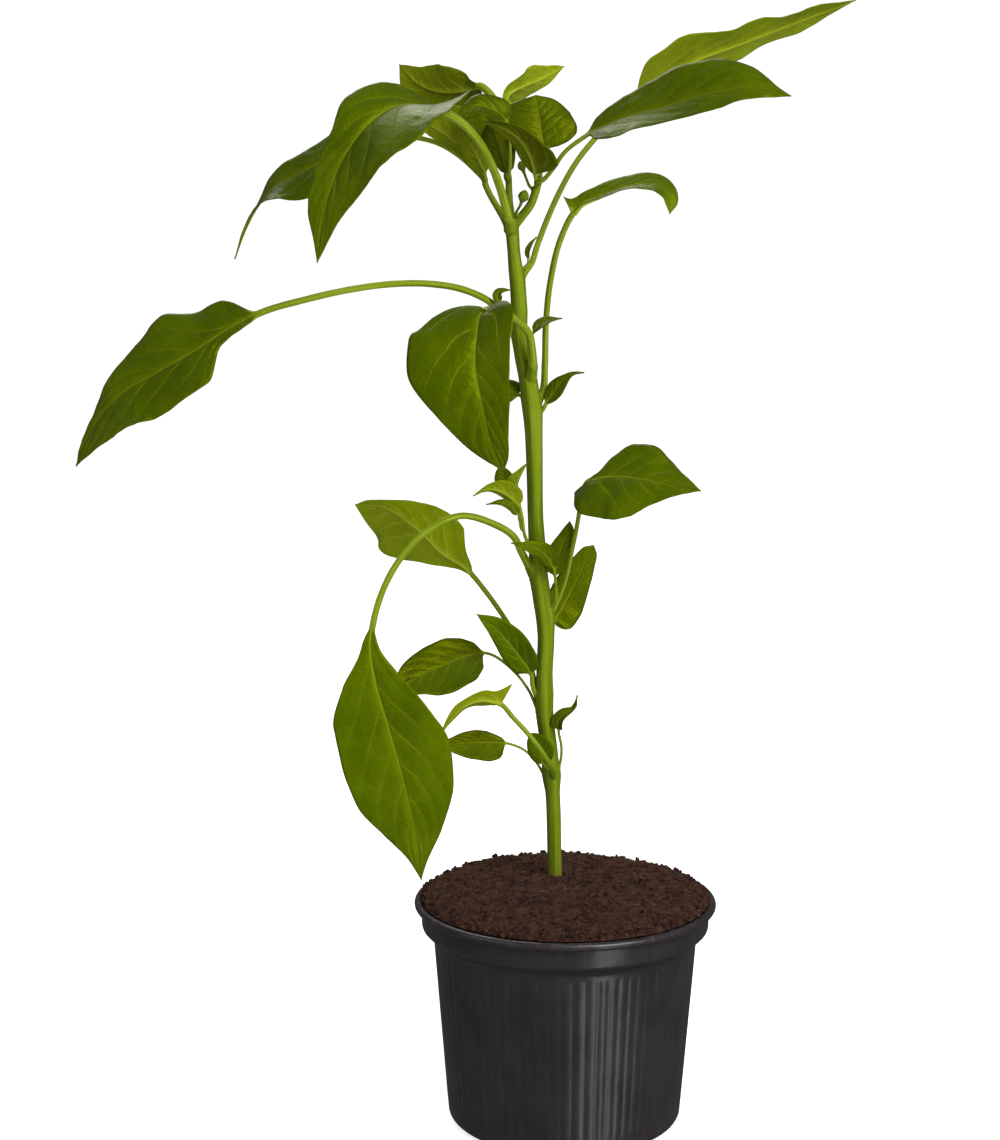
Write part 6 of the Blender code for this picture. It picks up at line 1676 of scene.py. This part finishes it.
def pot_plastic(name):
    """Charcoal plastic off a mould: satin, faint streaks and scuffs, dust where crumbs fall."""
    g = Graph(name)
    point = g.place()
    x, y, z = g.split(point)
    tall = g.join(g.math("MULTIPLY", x, 0.9), g.math("MULTIPLY", y, 0.9), g.math("MULTIPLY", z, 0.03))
    streak = g.noise(tall, 0.6, 4.0, 0.62)
    grain = g.noise(point, 2.2, 3.0, 0.6)
    cloud = g.noise(point, 0.05, 3.0, 0.55)
    fleck = g.step(g.net(point, 0.55, "F1"), 0.10, 0.02)
    base = g.mix(g.step(cloud, 0.3, 0.7), (0.0135, 0.0112, 0.0135), (0.0195, 0.0165, 0.0190))
    base = g.mix(g.math("MULTIPLY", g.step(streak, 0.5, 0.75), 0.30), base, (0.036, 0.031, 0.036))
    base = g.mix(g.math("MULTIPLY", fleck, 0.2), base, (0.045, 0.040, 0.040))
    # peat dust on the lip and in the step under it, some splashed about the foot
    top = g.step(z, 87.0, 90.2)
    foot = g.step(z, 11.0, 1.0)
    dust = g.step(g.noise(point, 0.55, 4.0, 0.68), 0.50, 0.66)
    where = g.math("MAXIMUM", g.math("MULTIPLY", top, 0.55), g.math("MULTIPLY", foot, 0.45))
    base = g.mix(g.math("MULTIPLY", dust, where), base, (0.075, 0.050, 0.038))
    g.set(g.shader.inputs["Base Color"], base)
    scuff = g.step(g.noise(g.warp(tall, 0.5, 1.5), 2.6, 2.0, 0.7), 0.60, 0.70)
    rough = g.math("ADD", 0.29, g.math("MULTIPLY", g.math("SUBTRACT", streak, 0.5), 0.20))
    rough = g.math("ADD", rough, g.math("MULTIPLY", scuff, 0.10))
    rough = g.math("ADD", rough, g.math("MULTIPLY", g.math("MULTIPLY", dust, where), 0.3))
    rough = g.math("ADD", rough, g.math("MULTIPLY", grain, 0.06))
    g.set(g.shader.inputs["Roughness"], rough)
    g.shader.inputs["Specular IOR Level"].default_value = 0.5
    height = g.math("ADD", g.math("MULTIPLY", grain, 0.35), g.math("MULTIPLY", streak, 0.6))
    height = g.math("ADD", height, g.math("MULTIPLY", g.noise(point, 0.09, 2.0, 0.5), 6.0))
    g.set(g.shader.inputs["Normal"], g.bump(height, 0.00007, 1.0))
    return g.mat


def peat(name, fibre=False):
    """Dark red-brown peat; fibres run from rust to straw."""
    g = Graph(name)
    point = g.place()
    tone = g.attribute("tone", "Fac")
    fine = g.noise(point, 1.9, 4.0, 0.7)
    cloud = g.noise(point, 0.06, 3.0, 0.6)
    if fibre:
        base = g.mix(g.step(tone, 0.25, 0.95), (0.040, 0.015, 0.008), (0.125, 0.072, 0.036))
        base = g.mix(g.math("MULTIPLY", g.step(fine, 0.4, 0.7), 0.4), base, (0.09, 0.045, 0.025))
    else:
        base = g.mix(g.step(tone, 0.05, 0.95), (0.0070, 0.0028, 0.0020), (0.062, 0.0240, 0.0150))
        base = g.mix(g.math("MULTIPLY", g.step(fine, 0.45, 0.72), 0.6), base, (0.060, 0.027, 0.018))
        base = g.mix(g.math("MULTIPLY", g.step(cloud, 0.42, 0.66), 0.35), base, (0.038, 0.021, 0.010))
        grit = g.noise(point, 1.05, 4.0, 0.74)
        base = g.mix(g.math("MULTIPLY", g.step(grit, 0.50, 0.64), 0.55), base, (0.098, 0.040, 0.025))
        chip = g.math("MULTIPLY", g.step(g.net(point, 0.62, "F1"), 0.20, 0.10),
                      g.step(g.noise(point, 0.30, 2.0, 0.6), 0.48, 0.60))
        base = g.mix(g.math("MULTIPLY", chip, 0.7), base, (0.160, 0.092, 0.060))
        base = g.mix(g.math("MULTIPLY", g.step(grit, 0.46, 0.34), 0.60), base, (0.010, 0.0040, 0.0030))
        speck = g.step(g.net(point, 0.42, "F1"), 0.16, 0.07)
        pick = g.step(g.noise(point, 0.9, 1.0, 0.5), 0.56, 0.62)
        base = g.mix(g.math("MULTIPLY", g.math("MULTIPLY", speck, pick), 0.75), base, (0.34, 0.24, 0.17))
    g.set(g.shader.inputs["Base Color"], base)
    g.set(g.shader.inputs["Roughness"], g.math("ADD", 0.80, g.math("MULTIPLY", fine, 0.18)))
    g.shader.inputs["Specular IOR Level"].default_value = 0.12
    height = g.math("ADD", fine, g.math("MULTIPLY", g.noise(point, 6.0, 2.0, 0.6), 0.4))
    g.set(g.shader.inputs["Normal"], g.bump(height, 0.00045, 1.0))
    return g.mat


def plain(name, colour, rough):
    g = Graph(name)
    g.set(g.shader.inputs["Base Color"], colour)
    g.shader.inputs["Roughness"].default_value = rough
    return g.mat

# ------------------------------------------------------------------- build --

UPPER = dict(dark=(0.036, 0.063, 0.0001), light=(0.060, 0.097, 0.0002), vein=(0.155, 0.195, 0.006))
UNDER = dict(dark=(0.090, 0.123, 0.0004), light=(0.132, 0.172, 0.0012), vein=(0.230, 0.265, 0.020))
YOUNG = dict(dark=(0.034, 0.069, 0.0001), light=(0.058, 0.107, 0.0003), vein=(0.150, 0.200, 0.008))
# YOUNG_UNDER is set darker than UNDER as painted shade for undersides that lie in shadow
YOUNG_UNDER = dict(dark=(0.078, 0.112, 0.0004), light=(0.112, 0.150, 0.0012), vein=(0.190, 0.230, 0.014))
STALK = dict(stalk_dark=(0.105, 0.156, 0.0016), stalk_light=(0.210, 0.268, 0.024))

skins = {
    (False, 0): leaf_skin("leaf_upper_skin", True, **UPPER, **STALK, rough=0.40, gloss=0.36, glow=0.08),
    (False, 1): leaf_skin("leaf_under_skin", False, **UNDER, **STALK, rough=0.56, gloss=0.26, glow=0.12),
    (True, 0): leaf_skin("young_upper_skin", True, **YOUNG, **STALK, rough=0.38, gloss=0.38, glow=0.10),
    (True, 1): leaf_skin("young_under_skin", False, **YOUNG_UNDER, **STALK, rough=0.52, gloss=0.28, glow=0.12),
}
grow_axes()
for index, (name, spec) in enumerate(LEAVES.items(), 1):
    verts, faces, under, blade, flat, extra, young = fine_leaf(index, name, spec)
    piece = solid("pepper_" + name, verts, faces, [skins[young, 0], skins[young, 1]],
                  [("blade", blade), ("flat", flat), ("leafdata", extra)], under)
    settle(piece, [name])

stem_material = stem_skin("stem_skin", (0.068, 0.112, 0.0006), (0.140, 0.200, 0.006), (0.235, 0.300, 0.050))
settle(build_stem(stem_material), ["main_stem"])
for name, spec in BUDS.items():
    settle(build_bud("closed_" + name, spec, stem_skin(name + "_green", (0.060, 0.100, 0.003), (0.100, 0.150, 0.008),
                                                       (0.17, 0.22, 0.03))), [name])
settle(build_pot(pot_plastic("charcoal_plastic")), ["pot"])
settle(build_soil(peat("peat_crumbs"), peat("peat_fibres", True)), ["soil"])

# ------------------------------------------------------- floor and lighting --

bpy.ops.mesh.primitive_circle_add(vertices=96, radius=4.0, fill_type="NGON", location=(0, 0, -0.0004))
floor = bpy.context.object
floor.name = "studio_floor"
paint = Graph("studio_floor_paint")
paint.set(paint.shader.inputs["Base Color"], (0.86, 0.86, 0.86))
paint.shader.inputs["Roughness"].default_value = 0.9
paint.shader.inputs["Specular IOR Level"].default_value = 0.0
paint.shader.inputs["Emission Color"].default_value = (1, 1, 1, 1)
seen = paint.node("ShaderNodeLightPath").outputs["Is Camera Ray"]
paint.set(paint.shader.inputs["Emission Strength"], paint.math("MULTIPLY", seen, 0.72))
floor.data.materials.append(paint.mat)
floor.visible_glossy = False
floor.visible_shadow = False

world = bpy.data.worlds.new("studio")
bpy.context.scene.world = world
world.use_nodes = True
tree = world.node_tree
tree.nodes.clear()
out = tree.nodes.new("ShaderNodeOutputWorld")
path = tree.nodes.new("ShaderNodeLightPath")


def backdrop(strength):
    made = tree.nodes.new("ShaderNodeBackground")
    made.inputs["Color"].default_value = (1, 1, 1, 1)
    made.inputs["Strength"].default_value = strength
    return made.outputs[0]


def either(flag, no, yes):
    made = tree.nodes.new("ShaderNodeMixShader")
    tree.links.new(path.outputs[flag], made.inputs["Fac"])
    tree.links.new(no, made.inputs[1])
    tree.links.new(yes, made.inputs[2])
    return made.outputs[0]


# white behind the plant, a softer room for the light on it, darker in its gloss
room = either("Is Glossy Ray", backdrop(0.42), backdrop(0.10))
tree.links.new(either("Is Camera Ray", room, backdrop(1.06)), out.inputs["Surface"])


def softbox(name, where, target, size, power, colour=(1, 1, 1)):
    data = bpy.data.lights.new(name, "AREA")
    data.shape = "RECTANGLE"
    data.size, data.size_y = size
    data.energy = power
    data.color = colour
    lamp = bpy.data.objects.new(name, data)
    lamp.location = where
    lamp.rotation_euler = (Vector(target) - Vector(where)).to_track_quat("-Z", "Y").to_euler()
    lamp.visible_camera = False
    bpy.context.scene.collection.objects.link(lamp)
    return lamp


softbox("key_softbox", (0.66, -0.92, 1.00), (0, 0, 0.24), (0.7, 0.9), 21.0)
softbox("low_strip", (0.50, -0.80, -0.30), (0, 0, 0.03), (0.15, 0.80), 1.7)
softbox("fill_left", (-1.1, -0.6, 0.7), (0, 0, 0.2), (0.7, 0.9), 2.2)
softbox("top_back", (-0.3, 0.9, 1.3), (0, 0, 0.25), (0.8, 0.6), 6.0)

# ------------------------------------------------------------------ camera --

camera_data = bpy.data.cameras.new("camera")
camera_data.sensor_fit = "VERTICAL"
camera_data.sensor_height = 36.0
camera_data.lens = 69.63
camera_data.clip_start = 0.01
camera_data.clip_end = 50.0
camera = bpy.data.objects.new("camera", camera_data)
camera.location = (-0.0259, -0.850, 0.353)
camera.rotation_euler = (math.radians(90 - 8.76), 0.0, 0.0)
bpy.context.scene.collection.objects.link(camera)
bpy.context.scene.camera = camera

view = bpy.context.scene.view_settings
view.view_transform = "Standard"
view.look = "None"
view.exposure = 0.0
view.gamma = 1.0

bpy.context.view_layer.update()
